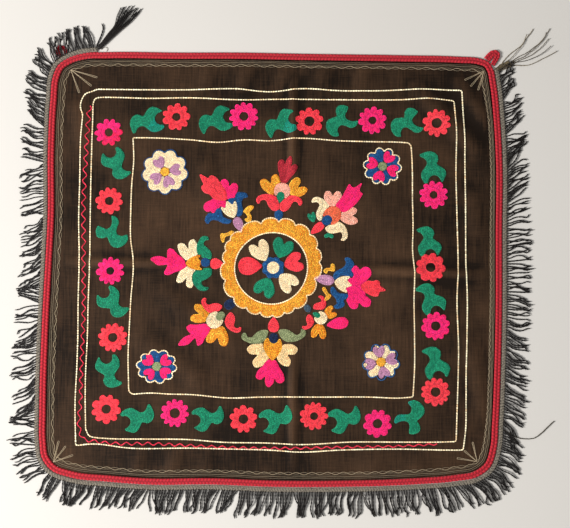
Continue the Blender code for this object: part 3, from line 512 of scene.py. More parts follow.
# Yarn colours as seen, and the tone that their dye drifts to
YARNS = {
    "pink": ((1.0, 0.17, 0.53), (0.97, 0.13, 0.40)),
    "coral": ((1.0, 0.30, 0.34), (0.95, 0.20, 0.26)),
    "magenta": ((1.0, 0.12, 0.50), (0.97, 0.15, 0.38)),
    "dark_red": ((0.78, 0.20, 0.25), (0.66, 0.12, 0.18)),
    "green": ((0.12, 0.61, 0.44), (0.03, 0.46, 0.34)),
    "teal": ((0.06, 0.62, 0.53), (0.04, 0.52, 0.45)),
    "crimson": ((0.97, 0.16, 0.34), (0.86, 0.10, 0.26)),
    "gold": ((1.0, 0.79, 0.27), (0.88, 0.48, 0.07)),
    "orange": ((1.0, 0.75, 0.22), (0.88, 0.46, 0.06)),
    "yellow": ((0.99, 0.79, 0.28), (0.92, 0.60, 0.16)),
    "tangerine": ((0.98, 0.50, 0.34), (0.92, 0.38, 0.24)),
    "salmon": ((1.0, 0.76, 0.67), (0.97, 0.64, 0.54)),
    "cream": ((1.0, 0.945, 0.79), (0.98, 0.84, 0.64)),
    "sand": ((1.0, 0.90, 0.68), (0.95, 0.76, 0.52)),
    "navy": ((0.11, 0.20, 0.36), (0.05, 0.08, 0.17)),
    "blue": ((0.12, 0.38, 0.60), (0.06, 0.25, 0.45)),
    "slate": ((0.34, 0.42, 0.48), (0.20, 0.28, 0.34)),
    "lilac": ((0.85, 0.63, 0.75), (0.71, 0.49, 0.61)),
    "sage": ((0.66, 0.69, 0.50), (0.46, 0.52, 0.36)),
    "olive": ((0.66, 0.69, 0.50), (0.44, 0.48, 0.32)),
    "red": ((0.94, 0.24, 0.34), (0.80, 0.12, 0.22)),
}


# Curves and fields, in millimetres


def way_through(before, here, after):
    """How smooth curves pass their points, per unit of length."""
    back = np.linalg.norm(here - before, axis=1, keepdims=True)
    ahead = np.linalg.norm(after - here, axis=1, keepdims=True)
    straight = (after - before) / np.maximum(np.maximum(back, ahead), TINY)
    corner = (back == 0.0) | (ahead == 0.0)
    back = np.where(corner, 1.0, back)
    ahead = np.where(corner, 1.0, ahead)
    bent = ((here - before) / back * ahead + (after - here) / ahead * back) / (back + ahead)
    return np.where(corner, straight, bent)


def smooth_curve(points, closed, steps=8):
    """A smooth curve through a few points. A doubled point is a corner."""
    points = np.array(points, float)
    count = len(points)
    spans = np.arange(count if closed else count - 1)
    numbers = [spans + shift for shift in (-1, 0, 1, 2)]
    numbers = [n % count if closed else np.clip(n, 0, count - 1) for n in numbers]
    before, start, end, after = (points[n] for n in numbers)
    span = np.linalg.norm(end - start, axis=1, keepdims=True)
    leave = way_through(before, start, end) * span
    arrive = way_through(start, end, after) * span
    curve = []
    for step in range(steps):
        share = step / steps
        square = share * share
        cube = square * share
        curve.append(
            start * (2 * cube - 3 * square + 1) + leave * (cube - 2 * square + share)
            + end * (3 * square - 2 * cube) + arrive * (cube - square))
    path = np.stack(curve, axis=1)[span[:, 0] > TINY].reshape(-1, points.shape[1])
    return path if closed else np.vstack([path, points[-1:]])


def lengths_along(path, closed):
    """The distance along a path at each point, and at its start again where it is closed."""
    ends = np.vstack([path, path[:1]]) if closed else path
    return ends, np.concatenate([[0.0], np.cumsum(np.linalg.norm(np.diff(ends, axis=0), axis=1))])


def places_along(path, wanted, closed):
    """Places at the wanted distances along a path."""
    ends, distances = lengths_along(path, closed)
    return np.stack([np.interp(wanted, distances, ends[:, axis]) for axis in range(path.shape[1])], axis=1)


def evenly(path, step, closed):
    """The path again, in even steps of about the given length."""
    total = lengths_along(path, closed)[1][-1]
    count = max(3 if closed else 1, round(total / step))
    wanted = np.arange(count) * total / count if closed else np.linspace(0.0, total, count + 1)
    return places_along(path, wanted, closed)


def ways_along(path, closed):
    """Unit directions of a path at its points."""
    if closed:
        way = np.roll(path, -1, axis=0) - np.roll(path, 1, axis=0)
    else:
        way = np.gradient(path, axis=0)
    return way / np.maximum(np.linalg.norm(way, axis=1, keepdims=True), TINY)


def left_of(way):
    """Directions to the left of others."""
    return np.stack([-way[:, 1], way[:, 0]], axis=1)


def shifted(path, distance, closed=True):
    """A clockwise path moved outwards, or inwards by a negative distance."""
    return path + left_of(ways_along(path, closed)) * distance


def stretch_between(path, start, end):
    """The stretch of a closed path from one place to another."""
    first = int(np.argmin(np.linalg.norm(path - np.array(start), axis=1)))
    last = int(np.argmin(np.linalg.norm(path - np.array(end), axis=1)))
    if last < first:
        last += len(path)
    return path[np.arange(first, last + 1) % len(path)]


def eased(share):
    """A share from 0 to 1 with a soft start and end."""
    share = np.clip(share, 0.0, 1.0)
    return share * share * (3.0 - 2.0 * share)


def inside_distance(outline, x, y):
    """How far points are inside a closed outline. It is negative outside."""
    nearest = np.full(x.shape, FAR)
    inside = np.zeros(x.shape, bool)
    for (ax, ay), (bx, by) in zip(outline, np.roll(outline, -1, axis=0)):
        run_x, run_y = bx - ax, by - ay
        long = run_x * run_x + run_y * run_y
        if long < 1e-12:
            continue
        share = np.clip(((x - ax) * run_x + (y - ay) * run_y) / long, 0.0, 1.0)
        nearest = np.minimum(nearest, (x - ax - share * run_x) ** 2 + (y - ay - share * run_y) ** 2)
        crosses = (ay > y) != (by > y)
        if run_y != 0.0:
            inside ^= crosses & (x < ax + (y - ay) * run_x / run_y)
    return np.where(inside, 1.0, -1.0) * np.sqrt(nearest)


# For each pattern of a cell's corners, the sides that a contour enters and leaves by:
# side 0 is the bottom one, then right, top and left
CELL_WAYS = {
    1: [(0, 3)], 2: [(1, 0)], 3: [(1, 3)], 4: [(2, 1)], 5: [(0, 3), (2, 1)], 6: [(2, 0)], 7: [(2, 3)],
    8: [(3, 2)], 9: [(0, 2)], 10: [(1, 0), (3, 2)], 11: [(1, 2)], 12: [(3, 1)], 13: [(0, 1)], 14: [(3, 0)],
}


def contours(field, level, low_x, low_y, pitch):
    """Closed curves along which a field on a grid has the given value."""
    above = field > level
    code = (
        above[:-1, :-1] * 1 + above[1:, :-1] * 2 + above[1:, 1:] * 4 + above[:-1, 1:] * 8)
    follows = {}
    for i, j in zip(*np.nonzero((code > 0) & (code < 15))):
        sides = [("h", i, j), ("v", i + 1, j), ("h", i, j + 1), ("v", i, j)]
        for enter, leave in CELL_WAYS[int(code[i, j])]:
            follows[sides[enter]] = sides[leave]
    loops = []
    while follows:
        first, side = follows.popitem()
        chain = [first]
        while side != first and side in follows:
            chain.append(side)
            side = follows.pop(side)
        places = []
        for kind, i, j in chain:
            other = (i + 1, j) if kind == "h" else (i, j + 1)
            share = (level - field[i, j]) / (field[other] - field[i, j])
            places.append((i + share * (kind == "h"), j + share * (kind == "v")))
        loops.append(np.array(places) * pitch + (low_x, low_y))
    return loops


# The ground cloth's shape


EDGE = smooth_curve(OUTLINE, True, 16)
FIELD_LOW = (-300.0, -290.0)
FIELD_PITCH = 1.5
FIELD_COUNT = (401, 387)
# Random waves of slack cloth: cells across and up, the span they cover, how far and over what
# length their rows wander
SLACK_CELL = (17.0, 70.0)
SLACK_SPAN = (620, 600)
SLACK_WANDER = (0.18, 55.0)
SLACK_HEIGHT = 0.6


def slack_waves(x, y):
    """Small random waves of slack cloth that run up and down it."""
    draw = np.random.default_rng(SEED)
    across, up = SLACK_CELL
    knots = draw.random((int(SLACK_SPAN[0] / across) + 3, int(SLACK_SPAN[1] / up) + 3))
    i = (x - FIELD_LOW[0]) / across + SLACK_WANDER[0] * np.sin(y / SLACK_WANDER[1])
    j = (y - FIELD_LOW[1]) / up
    i = np.clip(i, 0, knots.shape[0] - 1.001)
    j = np.clip(j, 0, knots.shape[1] - 1.001)
    left, low = i.astype(int), j.astype(int)
    si, sj = eased(i - left), eased(j - low)
    bottom = knots[left, low] * (1 - si) + knots[left + 1, low] * si
    top = knots[left, low + 1] * (1 - si) + knots[left + 1, low + 1] * si
    return bottom * (1 - sj) + top * sj


def fold_field():
    """How far the cloth's underside stands off the floor, on a grid."""
    x = FIELD_LOW[0] + FIELD_PITCH * np.arange(FIELD_COUNT[0])[:, None]
    y = FIELD_LOW[1] + FIELD_PITCH * np.arange(FIELD_COUNT[1])[None, :]
    x, y = np.broadcast_arrays(x, y)
    lift = np.zeros(x.shape)
    for from_x, from_y, to_x, to_y, half_width, top in FOLDS:
        run_x, run_y = to_x - from_x, to_y - from_y
        share = ((x - from_x) * run_x + (y - from_y) * run_y) / (run_x ** 2 + run_y ** 2)
        off = np.hypot(x - from_x - share * run_x, y - from_y - share * run_y)
        ends = eased(share / FOLD_FADE) * eased((1.0 - share) / FOLD_FADE)
        lift = np.maximum(lift, top * ends * np.exp(-((off / half_width) ** 2)))
    for from_x, to_x, middle_y, half_depth, wavelength, top in PUCKERS:
        share = (x - from_x) / (to_x - from_x)
        ends = eased(share / FOLD_FADE) * eased((1.0 - share) / FOLD_FADE)
        across = np.exp(-(((y - middle_y) / half_depth) ** 2))
        wave = 0.5 + 0.5 * np.sin(2 * math.pi * (x - PUCKER_SLANT * (y - middle_y)) / wavelength)
        lift = np.maximum(lift, top * ends * across * wave ** 2)
    lift = lift + SLACK_HEIGHT * slack_waves(x, y)
    near_edge = inside_distance(EDGE[::4], x, y) - BINDING_WIDTH
    return lift * eased(near_edge / EDGE_FADE)


LIFT = fold_field()
RELIEF_SPAN = 15


def relief_field():
    """How far the cloth stands above or below its surroundings, on the same grid."""
    even = np.ones(RELIEF_SPAN) / RELIEF_SPAN
    level = np.apply_along_axis(np.convolve, 0, LIFT, even, "same")
    return LIFT - np.apply_along_axis(np.convolve, 1, level, even, "same")


def lift_at(x, y, field=LIFT):
    """The cloth's lift, or another field, at places in millimetres, read from its grid."""
    i = np.clip((x - FIELD_LOW[0]) / FIELD_PITCH, 0, FIELD_COUNT[0] - 1.001)
    j = np.clip((y - FIELD_LOW[1]) / FIELD_PITCH, 0, FIELD_COUNT[1] - 1.001)
    left, low = i.astype(int), j.astype(int)
    si, sj = i - left, j - low
    bottom = field[left, low] * (1 - si) + field[left + 1, low] * si
    top = field[left, low + 1] * (1 - si) + field[left + 1, low + 1] * si
    return bottom * (1 - sj) + top * sj


# Meshes


def part_of(points, faces, along=None, around=None, shade=1.0, dye=0.0, material=0):
    """One run of mesh: points in millimetres, faces, thread coordinates and yarn tones, some with painted
    shade.
    """
    count = len(points)
    return {
        "points": points * MM,
        "faces": [np.asarray(f, int) for f in faces],
        "thread": np.stack([
            np.zeros(count) if along is None else along,
            np.zeros(count) if around is None else around,
        ], axis=1),
        "shade": np.broadcast_to(shade, count),
        "dye": np.broadcast_to(dye, count),
        "material": material,
    }


def outward(points, faces):
    """The faces, turned so that a closed run of mesh has its outside out."""
    volume = 0.0
    for group in faces:
        for corner in range(1, group.shape[1] - 1):
            a, b, c = points[group[:, 0]], points[group[:, corner]], points[group[:, corner + 1]]
            volume += float((a * np.cross(b, c)).sum())
    return [group[:, ::-1] for group in faces] if volume < 0.0 else faces


def swept(rings, closed, along, shade=1.0, dye=0.0):
    """A run of mesh through rings of points, with its ends closed."""
    count, around = rings.shape[:2]
    number = np.arange(count * around).reshape(count, around)
    start = number if closed else number[:-1]
    end = np.roll(number, -1, axis=0) if closed else number[1:]
    quads = np.stack(
        [start, np.roll(start, -1, axis=1), np.roll(end, -1, axis=1), end], axis=-1).reshape(-1, 4)
    points = rings.reshape(-1, 3)
    faces = [quads]
    shade = np.broadcast_to(shade, (count, around)).reshape(-1)
    length_at = np.repeat(along, around)
    turn_at = np.tile(np.arange(around) / around, count)
    if not closed:
        points = np.vstack([points, rings[0].mean(axis=0), rings[-1].mean(axis=0)])
        first = np.stack([number[0], np.full(around, len(points) - 2), np.roll(number[0], -1)], axis=1)
        last = np.stack([number[-1], np.roll(number[-1], -1), np.full(around, len(points) - 1)], axis=1)
        faces.append(np.vstack([first, last]))
        shade = np.append(shade, [shade[0], shade[-1]])
        length_at = np.append(length_at, [along[0], along[-1]])
        turn_at = np.append(turn_at, [0.0, 0.0])
    return part_of(points, outward(points, faces), length_at, turn_at, shade, dye)


def joined_piece(name, parts, materials):
    """All runs of mesh as one object with its thread coordinates and yarn tones."""
    points = np.vstack([part["points"] for part in parts])
    groups, slots = [], []
    first = 0
    for part in parts:
        for faces in part["faces"]:
            groups.append(faces + first)
            slots.append(np.broadcast_to(part["material"], len(faces)))
        first += len(part["points"])
    corners = np.concatenate([group.reshape(-1) for group in groups])
    sides = np.concatenate([np.full(len(group), group.shape[1]) for group in groups])
    starts = np.concatenate([[0], np.cumsum(sides)[:-1]])
    mesh = bpy.data.meshes.new(name)
    mesh.vertices.add(len(points))
    mesh.vertices.foreach_set("co", points.astype(np.float32).reshape(-1))
    mesh.loops.add(len(corners))
    mesh.loops.foreach_set("vertex_index", corners.astype(np.int32))
    mesh.polygons.add(len(sides))
    mesh.polygons.foreach_set("loop_start", starts.astype(np.int32))
    mesh.polygons.foreach_set("material_index", np.concatenate(slots).astype(np.int32))
    mesh.update(calc_edges=True)
    thread = np.vstack([part["thread"] for part in parts])
    mesh.uv_layers.new(name="thread").data.foreach_set(
        "uv", thread[corners].astype(np.float32).reshape(-1))
    for tone in ("shade", "dye"):
        values = np.concatenate([part[tone] for part in parts])
        mesh.attributes.new(tone, "FLOAT", "POINT").data.foreach_set("value", values.astype(np.float32))
    for material in materials:
        mesh.materials.append(material)
    mesh.validate()
    mesh.shade_smooth()
    piece = bpy.data.objects.new(name, mesh)
    bpy.context.collection.objects.link(piece)
    return piece


def tube_rings(path, radius, sides, twist=None, ply=0.0, flat=1.0):
    """Rings round a path in space. A ply above 0 gives the two strands of a twisted cord."""
    way = ways_along(path, False)
    left = np.stack([-way[:, 1], way[:, 0], np.zeros(len(path))], axis=1)
    left /= np.maximum(np.linalg.norm(left, axis=1, keepdims=True), TINY)
    up = np.cross(way, left)
    turn = 2 * math.pi * np.arange(sides)[None, :] / sides - math.pi / 2
    along = lengths_along(path, False)[1]
    wound = np.zeros(len(path)) if twist is None else math.pi * 2 * along / twist
    reach = 1.0 - ply * (0.5 - 0.5 * np.cos(2 * (turn - wound[:, None])))
    reach = reach * np.broadcast_to(radius, len(path))[:, None]
    rings = (
        path[:, None, :] + left[:, None, :] * (np.cos(turn) * reach)[..., None]
        + up[:, None, :] * (np.sin(turn) * reach * flat)[..., None])
    return rings, along, reach


def piece_done(piece, nodes=()):
    """A finished piece rides on the part, and may stand for its plain solids."""
    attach(piece, "root")
    if nodes:
        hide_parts(*nodes)


# Materials


def new_material(name, roughness, sheen, sheen_roughness=0.45, shine=0.2):
    """A cloth-like material, with its node tree and its shader."""
    material = bpy.data.materials.new(name)
    material.use_nodes = True
    tree = material.node_tree
    shader = tree.nodes["Principled BSDF"]
    shader.inputs["Roughness"].default_value = roughness
    shader.inputs["Sheen Weight"].default_value = sheen
    shader.inputs["Sheen Roughness"].default_value = sheen_roughness
    shader.inputs["Specular IOR Level"].default_value = shine
    return material, tree, shader


def node(tree, kind, **settings):
    """A new node, with its inputs or its own settings set by name."""
    made = tree.nodes.new(kind)
    for key, value in settings.items():
        if key in made.inputs.keys():
            made.inputs[key].default_value = value
        else:
            setattr(made, key, value)
    return made


def noise(tree, vector, scale, detail=3.0, roughness=0.55):
    """Soft random values round 0.5."""
    made = node(tree, "ShaderNodeTexNoise", Scale=scale, Detail=detail, Roughness=roughness)
    tree.links.new(vector, made.inputs["Vector"])
    return made.outputs["Fac"]


def stretched(tree, vector, scale):
    """Places scaled along each axis."""
    made = node(tree, "ShaderNodeMapping", Scale=scale)
    tree.links.new(vector, made.inputs["Vector"])
    return made.outputs["Vector"]


def mapped(tree, value, low, high, to_low, to_high):
    """A value carried from one range to another."""
    made = node(tree, "ShaderNodeMapRange")
    for key, number in (("From Min", low), ("From Max", high), ("To Min", to_low), ("To Max", to_high)):
        made.inputs[key].default_value = number
    tree.links.new(value, made.inputs["Value"])
    return made.outputs["Result"]


def math_node(tree, operation, first, second):
    """Two values or sockets through one operation."""
    made = node(tree, "ShaderNodeMath", operation=operation)
    for socket, value in zip(made.inputs, (first, second)):
        if isinstance(value, (int, float)):
            socket.default_value = value
        else:
            tree.links.new(value, socket)
    return made.outputs["Value"]


def mixed(tree, share, first, second):
    """Two colours mixed by a share."""
    made = node(tree, "ShaderNodeMix", data_type="RGBA")
    for socket, value in zip((made.inputs[0], made.inputs[6], made.inputs[7]), (share, first, second)):
        if isinstance(value, (int, float)):
            socket.default_value = value
        elif isinstance(value, tuple):
            socket.default_value = (*value, 1.0)
        else:
            tree.links.new(value, socket)
    return made.outputs[2]


def brightened(tree, tone, share):
    """A colour with its brightness multiplied."""
    made = node(tree, "ShaderNodeHueSaturation")
    tree.links.new(tone, made.inputs["Color"])
    tree.links.new(share, made.inputs["Value"])
    return made.outputs["Color"]


def weighted(tree, *terms):
    """The sum of some values, each times its weight."""
    total = None
    for value, weight in terms:
        term = value if weight == 1.0 else math_node(tree, "MULTIPLY", value, weight)
        total = term if total is None else math_node(tree, "ADD", total, term)
    return total


def waves(tree, vector, direction, scale, distortion=0.0):
    """Bands of light and dark across a direction."""
    made = node(tree, "ShaderNodeTexWave", wave_type="BANDS", bands_direction=direction, Scale=scale,
                Distortion=distortion)
    tree.links.new(vector, made.inputs["Vector"])
    return made.outputs["Fac"]


def darker(tone, share):
    """A colour times a share."""
    return tuple(c * share for c in tone)


def bumped(tree, shader, height, strength, distance):
    """Fine relief, from a height and the distance that a height of 1 stands for."""
    made = node(tree, "ShaderNodeBump", Strength=strength, Distance=distance)
    tree.links.new(height, made.inputs["Height"])
    tree.links.new(made.outputs["Normal"], shader.inputs["Normal"])


def object_places(tree):
    return node(tree, "ShaderNodeTexCoord").outputs["Object"]


def tone_of(tree, name):
    return node(tree, "ShaderNodeAttribute", attribute_name=name).outputs["Fac"]


def yarn_material(name, tone, drift, roughness=0.72, sheen=0.10, twist=0.9):
    """Spun yarn: its dye drifts, its fibres show, and a fine twist runs round each thread."""
    material, tree, shader = new_material(name, roughness, sheen)
    places = object_places(tree)
    dyed = mixed(tree, tone_of(tree, "dye"), tone, drift)
    fibres = mapped(tree, noise(tree, places, 2600.0, 2.0), 0.25, 0.75, 0.86, 1.12)
    # The shade attribute holds random tones and the painted shade of stitches, pads, braid, tape and cords
    value = math_node(tree, "MULTIPLY", tone_of(tree, "shade"), fibres)
    tree.links.new(brightened(tree, dyed, value), shader.inputs["Base Color"])
    thread = node(tree, "ShaderNodeUVMap", uv_map="thread").outputs["UV"]
    plies = waves(tree, stretched(tree, thread, (1.0, 4.0, 1.0)), "DIAGONAL", twist, 0.6)
    bumped(tree, shader, weighted(tree, (plies, 1.0), (fibres, 0.6)), 0.5, 0.00025)
    return material


def cotton_material(colours):
    """Dark cotton satin: upright slubs, a fine weave, creases with wear and painted light on their crests and
    painted shade in their valleys, a painted sheen in the middle, and a soft sheen.
    """
    material, tree, shader = new_material("cotton_satin", 0.6, 0.01, 0.4, 0.06)
    places = object_places(tree)
    slubs = noise(tree, stretched(tree, places, (520.0, 26.0, 1.0)), 1.0, 4.0, 0.6)
    cross = noise(tree, stretched(tree, places, (40.0, 700.0, 1.0)), 1.0, 3.0)
    patches = noise(tree, places, 11.0, 4.0)
    fine = noise(tree, places, 1500.0, 2.0)
    # The tone drifts to the worn and lit colour with random slubs and patches, and with the painted light and
    # shade of crests, valleys and middle from the mesh attribute
    wear_and_painted_light = weighted(tree, (slubs, 0.34), (cross, 0.18), (patches, 0.48), (tone_of(tree, "wear_and_painted_light"), 1.0))
    share = mapped(tree, wear_and_painted_light, 0.42, 0.74, 0.0, 1.0)
    tone = mixed(tree, share, tuple(colours.cloth), tuple(colours.cloth_worn_and_lit))
    value = mapped(tree, fine, 0.3, 0.7, 0.76, 1.2)
    tree.links.new(brightened(tree, tone, value), shader.inputs["Base Color"])
    ends, picks = waves(tree, places, "X", 640.0), waves(tree, places, "Y", 520.0)
    bumped(tree, shader, weighted(tree, (ends, 0.25), (picks, 0.2), (slubs, 1.0)), 0.45, 0.0004)
    return material


def tape_material(colours):
    """Grey woven heading with dark specks where the cords pass through it."""
    material, tree, shader = new_material("heading_tape", 0.8, 0.2)
    places = object_places(tree)
    specks = mapped(tree, noise(tree, places, 620.0, 2.0), 0.52, 0.66, 0.0, 0.8)
    tone = tuple(colours.tape)
    worn = mixed(tree, noise(tree, places, 60.0, 3.0), tone, darker(tone, 0.7))
    speckled = mixed(tree, specks, worn, tuple(colours.cord))
    value = mapped(tree, noise(tree, places, 2200.0, 2.0), 0.3, 0.7, 0.82, 1.12)
    value = math_node(tree, "MULTIPLY", value, tone_of(tree, "shade"))
    tree.links.new(brightened(tree, speckled, value), shader.inputs["Base Color"])
    bumped(tree, shader, noise(tree, places, 1400.0, 2.0), 0.5, 0.0003)
    return material


def floor_material(colours):
    """Pale matt floor, a little cloudy."""
    material, tree, shader = new_material("studio_floor", 0.85, 0.0)
    places = object_places(tree)
    tone = tuple(colours.floor)
    cloudy = mixed(tree, noise(tree, places, 3.0, 2.0), tone, darker(tone, 0.96))
    tree.links.new(cloudy, shader.inputs["Base Color"])
    return material


# Ground cloth


GRID_COLUMNS = 124
GRID_ROWS = 116
# Grid lines beside a crease, as shares of the cloth's width or height
CREASE_LINES = (-0.015, -0.010, -0.006, -0.003, 0.0, 0.003, 0.006, 0.010, 0.015)
# What a millimetre of relief adds to the tone: wear and painted light on a crest, painted shade in a valley
CREST_WEAR_AND_PAINTED_LIGHT = 0.075
VALLEY_PAINTED_SHADE = 0.20
# What the middle of the cloth adds to the tone, partly wear and partly painted sheen: amount, middle x, half
# width and fade in millimetres
INNER_WEAR_AND_PAINTED_SHEEN = 0.055
INNER_MIDDLE = -3.0
INNER_HALF = 205.0
INNER_FADE = 60.0


def grid_shares(count, crease):
    """Evenly spaced grid lines, with closer ones where a crease runs."""
    close = crease + np.array(CREASE_LINES)
    even = np.linspace(0.0, 1.0, count + 1)
    clear = even[(even < close[0] - 0.4 / count) | (even > close[-1] + 0.4 / count)]
    return np.sort(np.concatenate([clear, close]))


def cloth_places(across, up):
    """Places on the cloth at shares across and up, drawn from its four sides."""
    edge = shifted(EDGE, -(BINDING_WIDTH + 0.15))
    top_left, top_right, bottom_right, bottom_left = CLOTH_CORNERS
    top = stretch_between(edge, top_left, top_right)
    right = stretch_between(edge, top_right, bottom_right)[::-1]
    bottom = stretch_between(edge, bottom_right, bottom_left)[::-1]
    left = stretch_between(edge, bottom_left, top_left)

    def side(path, share):
        total = lengths_along(path, False)[1][-1]
        return places_along(path, share * total, False)

    tilt = LEVEL_CREASE_TILT * (0.5 - across) * np.sin(math.pi * up) ** 2
    level = up + tilt
    over, high = across[:, None], level[:, None]
    sides = side(left, level) * (1 - over) + side(right, level) * over
    ends = side(bottom, across) * (1 - high) + side(top, across) * high
    low = bottom[0] * (1 - over) + bottom[-1] * over
    tall = top[0] * (1 - over) + top[-1] * over
    return sides + ends - (low * (1 - high) + tall * high)


def make_ground_cloth(sizes, colours):
    """The cotton square, a thin sheet on its folds. Gives its flat width and height."""
    columns = grid_shares(GRID_COLUMNS, UPRIGHT_CREASE)
    rows = grid_shares(GRID_ROWS, LEVEL_CREASE)
    bpy.ops.mesh.primitive_grid_add(
        x_subdivisions=len(columns) - 1, y_subdivisions=len(rows) - 1, size=1.0)
    cloth = bpy.context.object
    cloth.name = cloth.data.name = "ground_cloth_satin"
    mesh = cloth.data
    places = np.zeros(len(mesh.vertices) * 3, np.float32)
    mesh.vertices.foreach_get("co", places)
    places = places.reshape(-1, 3)
    column = np.round((places[:, 0] + 0.5) * (len(columns) - 1)).astype(int)
    row = np.round((places[:, 1] + 0.5) * (len(rows) - 1)).astype(int)
    flat = cloth_places(columns[column], rows[row])
    lift = lift_at(flat[:, 0], flat[:, 1])
    points = np.column_stack([flat, lift]) * MM
    mesh.vertices.foreach_set("co", points.astype(np.float32).reshape(-1))
    mesh.update()
    relief = lift_at(flat[:, 0], flat[:, 1], relief_field())
    inner = INNER_HALF - np.maximum(np.abs(flat[:, 0] - INNER_MIDDLE), np.abs(flat[:, 1]))
    # Crests are lighter, as wear and painted light, and valleys darker, as painted shade
    wear_and_painted_light = np.where(relief > 0.0, CREST_WEAR_AND_PAINTED_LIGHT, VALLEY_PAINTED_SHADE) * relief
    # The middle is lighter: partly wear, partly painted sheen
    wear_and_painted_light += INNER_WEAR_AND_PAINTED_SHEEN * eased(inner / INNER_FADE)
    mesh.attributes.new("wear_and_painted_light", "FLOAT", "POINT").data.foreach_set("value", wear_and_painted_light.astype(np.float32))
    mesh.shade_smooth()
    wall = cloth.modifiers.new("Thickness", "SOLIDIFY")
    wall.thickness = sizes.cloth_thickness
    wall.offset = 1.0
    bpy.ops.object.modifier_apply(modifier=wall.name)
    mesh.materials.append(cotton_material(colours))
    piece_done(cloth, ["ground_cloth"])
    width = float(np.ptp(flat[:, 0])) * MM
    tall = float(np.ptp(flat[:, 1])) * MM
    return width, tall


# Braid


def braid_part(path, widths, height, pitch, closed):
    """A flat braid along a path: two ridges with a groove, crossed by slanting ribs, with painted shade in
    the groove and between the ribs.
    """
    ends = lengths_along(path, closed)[1]
    along = ends[:-1] if closed else ends
    if closed:
        pitch = ends[-1] / round(ends[-1] / pitch)
    way = ways_along(path, closed)
    left = left_of(way)
    across, up = np.array(BRAID_SECTION).T
    slant = RIB_SLANT[0] * np.abs(across) + RIB_SLANT[1] * (across > 0)
    rib = 0.5 + 0.5 * np.cos(2 * math.pi * (along[:, None] / pitch + slant[None, :]))
    raised = up[None, :] * height * (RIB_RISE[0] + RIB_RISE[1] * np.sqrt(rib))
    wide = across[None, :] * np.broadcast_to(widths, len(path))[:, None] / 2
    wide = wide * (1.0 + RIB_BULGE * (rib - 0.5) * (up[None, :] > 0.1))
    flat = path[:, None, :] + left[:, None, :] * wide[..., None]
    rings = np.concatenate([flat, raised[..., None]], axis=2)
    # Painted shade: darker in the groove and at the foot of each rib, lighter on the crests
    groove = GROOVE_SHADE[0] * np.exp(-((across[None, :] / GROOVE_SHADE[1]) ** 2))
    shade = (RIB_SHADE[0] + RIB_SHADE[1] * np.sqrt(rib)) * (1.0 - groove)
    return swept(rings, closed, along, shade, 0.3)


def braid_material(colours):
    """Red braid yarn."""
    tone = tuple(colours.braid)
    return yarn_material("red_braid", tone, darker(tone, 0.66), 0.7, 0.08, 1.4)


def make_binding(sizes, colours):
    """The red braid all round the cloth."""
    path = evenly(shifted(EDGE, -BINDING_WIDTH / 2), BRAID_STEP, True)
    width, height = sizes.binding_width / MM, sizes.binding_height / MM
    part = braid_part(path, width, height, sizes.rib_pitch / MM, True)
    piece_done(
        joined_piece("red_binding_braid", [part], [braid_material(colours)]), ["red_binding"])


def make_hanging_loops(sizes, colours):
    """The two braid loops sewn behind the top corners."""
    trim_edge = shifted(EDGE, SEWN_GAP + HEADING_WIDTH)
    loops = [
        ("hanging_loop_right", EDGE, RIGHT_LOOP_FOOT, RIGHT_LOOP),
        ("hanging_loop_left", trim_edge, LEFT_LOOP_FOOT, LEFT_LOOP),
    ]
    for name, wall, foot, shape in loops:
        index = int(np.argmin(np.linalg.norm(wall - np.array(foot), axis=1)))
        out = left_of(ways_along(wall, True))[index]
        over = np.array([out[1], -out[0]])
        curve = evenly(smooth_curve(shape, False, 12), LOOP_STEP, False)
        path = wall[index] + curve[:, :1] * over + curve[:, 1:2] * out
        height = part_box(name)[1].z / MM
        part = braid_part(path, curve[:, 2], height * 0.9, sizes.rib_pitch / MM * 0.8, False)
        piece = joined_piece(name + "_braid", [part], [braid_material(colours)])
        piece_done(piece, [name])


# Fringe


def heading_path():
    """The heading's sewn edge, clockwise from the top right."""
    inner = stretch_between(shifted(EDGE, SEWN_GAP), HEADING_START, HEADING_END)
    return evenly(inner, HEADING_STEP, False)


def make_heading(colours):
    """The grey woven tape that carries the cords."""
    path = heading_path()
    left = left_of(ways_along(path, False))
    along = lengths_along(path, False)[1]
    across, up = np.array(HEADING_SECTION).T
    rows = np.arange(len(path))[:, None]
    knots = 0.5 + 0.5 * np.cos(math.pi * (rows + np.arange(len(across))[None, :]))
    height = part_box("fringe_trim")[1].z / MM
    raised = up[None, :] * height * (KNOT_RISE[0] + KNOT_RISE[1] * knots)
    flat = path[:, None, :] + left[:, None, :] * (across * HEADING_WIDTH)[None, :, None]
    rings = np.concatenate([flat, raised[..., None]], axis=2)
    specks = (rows + np.array(SPECK_ROWS)[None, :]) % SPECK_EVERY == 0
    specks &= (np.abs(across - 0.5) < SPECK_REACH)[None, :]
    # Painted light and shade: raised knots lighter, low ones darker; the specks are the dark threads' own
    # colour
    shade = (KNOT_SHADE[0] + KNOT_SHADE[1] * knots) * np.where(specks, SPECK_SHADE, 1.0)
    part = swept(rings, False, along, shade, 0.0)
    piece_done(
        joined_piece("fringe_heading_tape", [part], [tape_material(colours)]),
        ["fringe_trim"])


CORD_PITCH = 3.0
CORD_MIDDLE = 13.0
CORD_SIDES = 8
CORD_STATION = 1.5
# How the two strands of a cord stand apart, and how flat it lies
CORD_PLY = 0.42
CORD_FLAT = 0.95
CORD_FLOOR = 0.02
# How far a cord's foot is set back under the heading's outer edge
CORD_TUCK = 0.8
# Cords lean together in clumps: cords in one, spread and gather in degrees
CLUMP_CORDS = 7
CLUMP_LEAN = 8.5
CLUMP_GATHER = 15.0
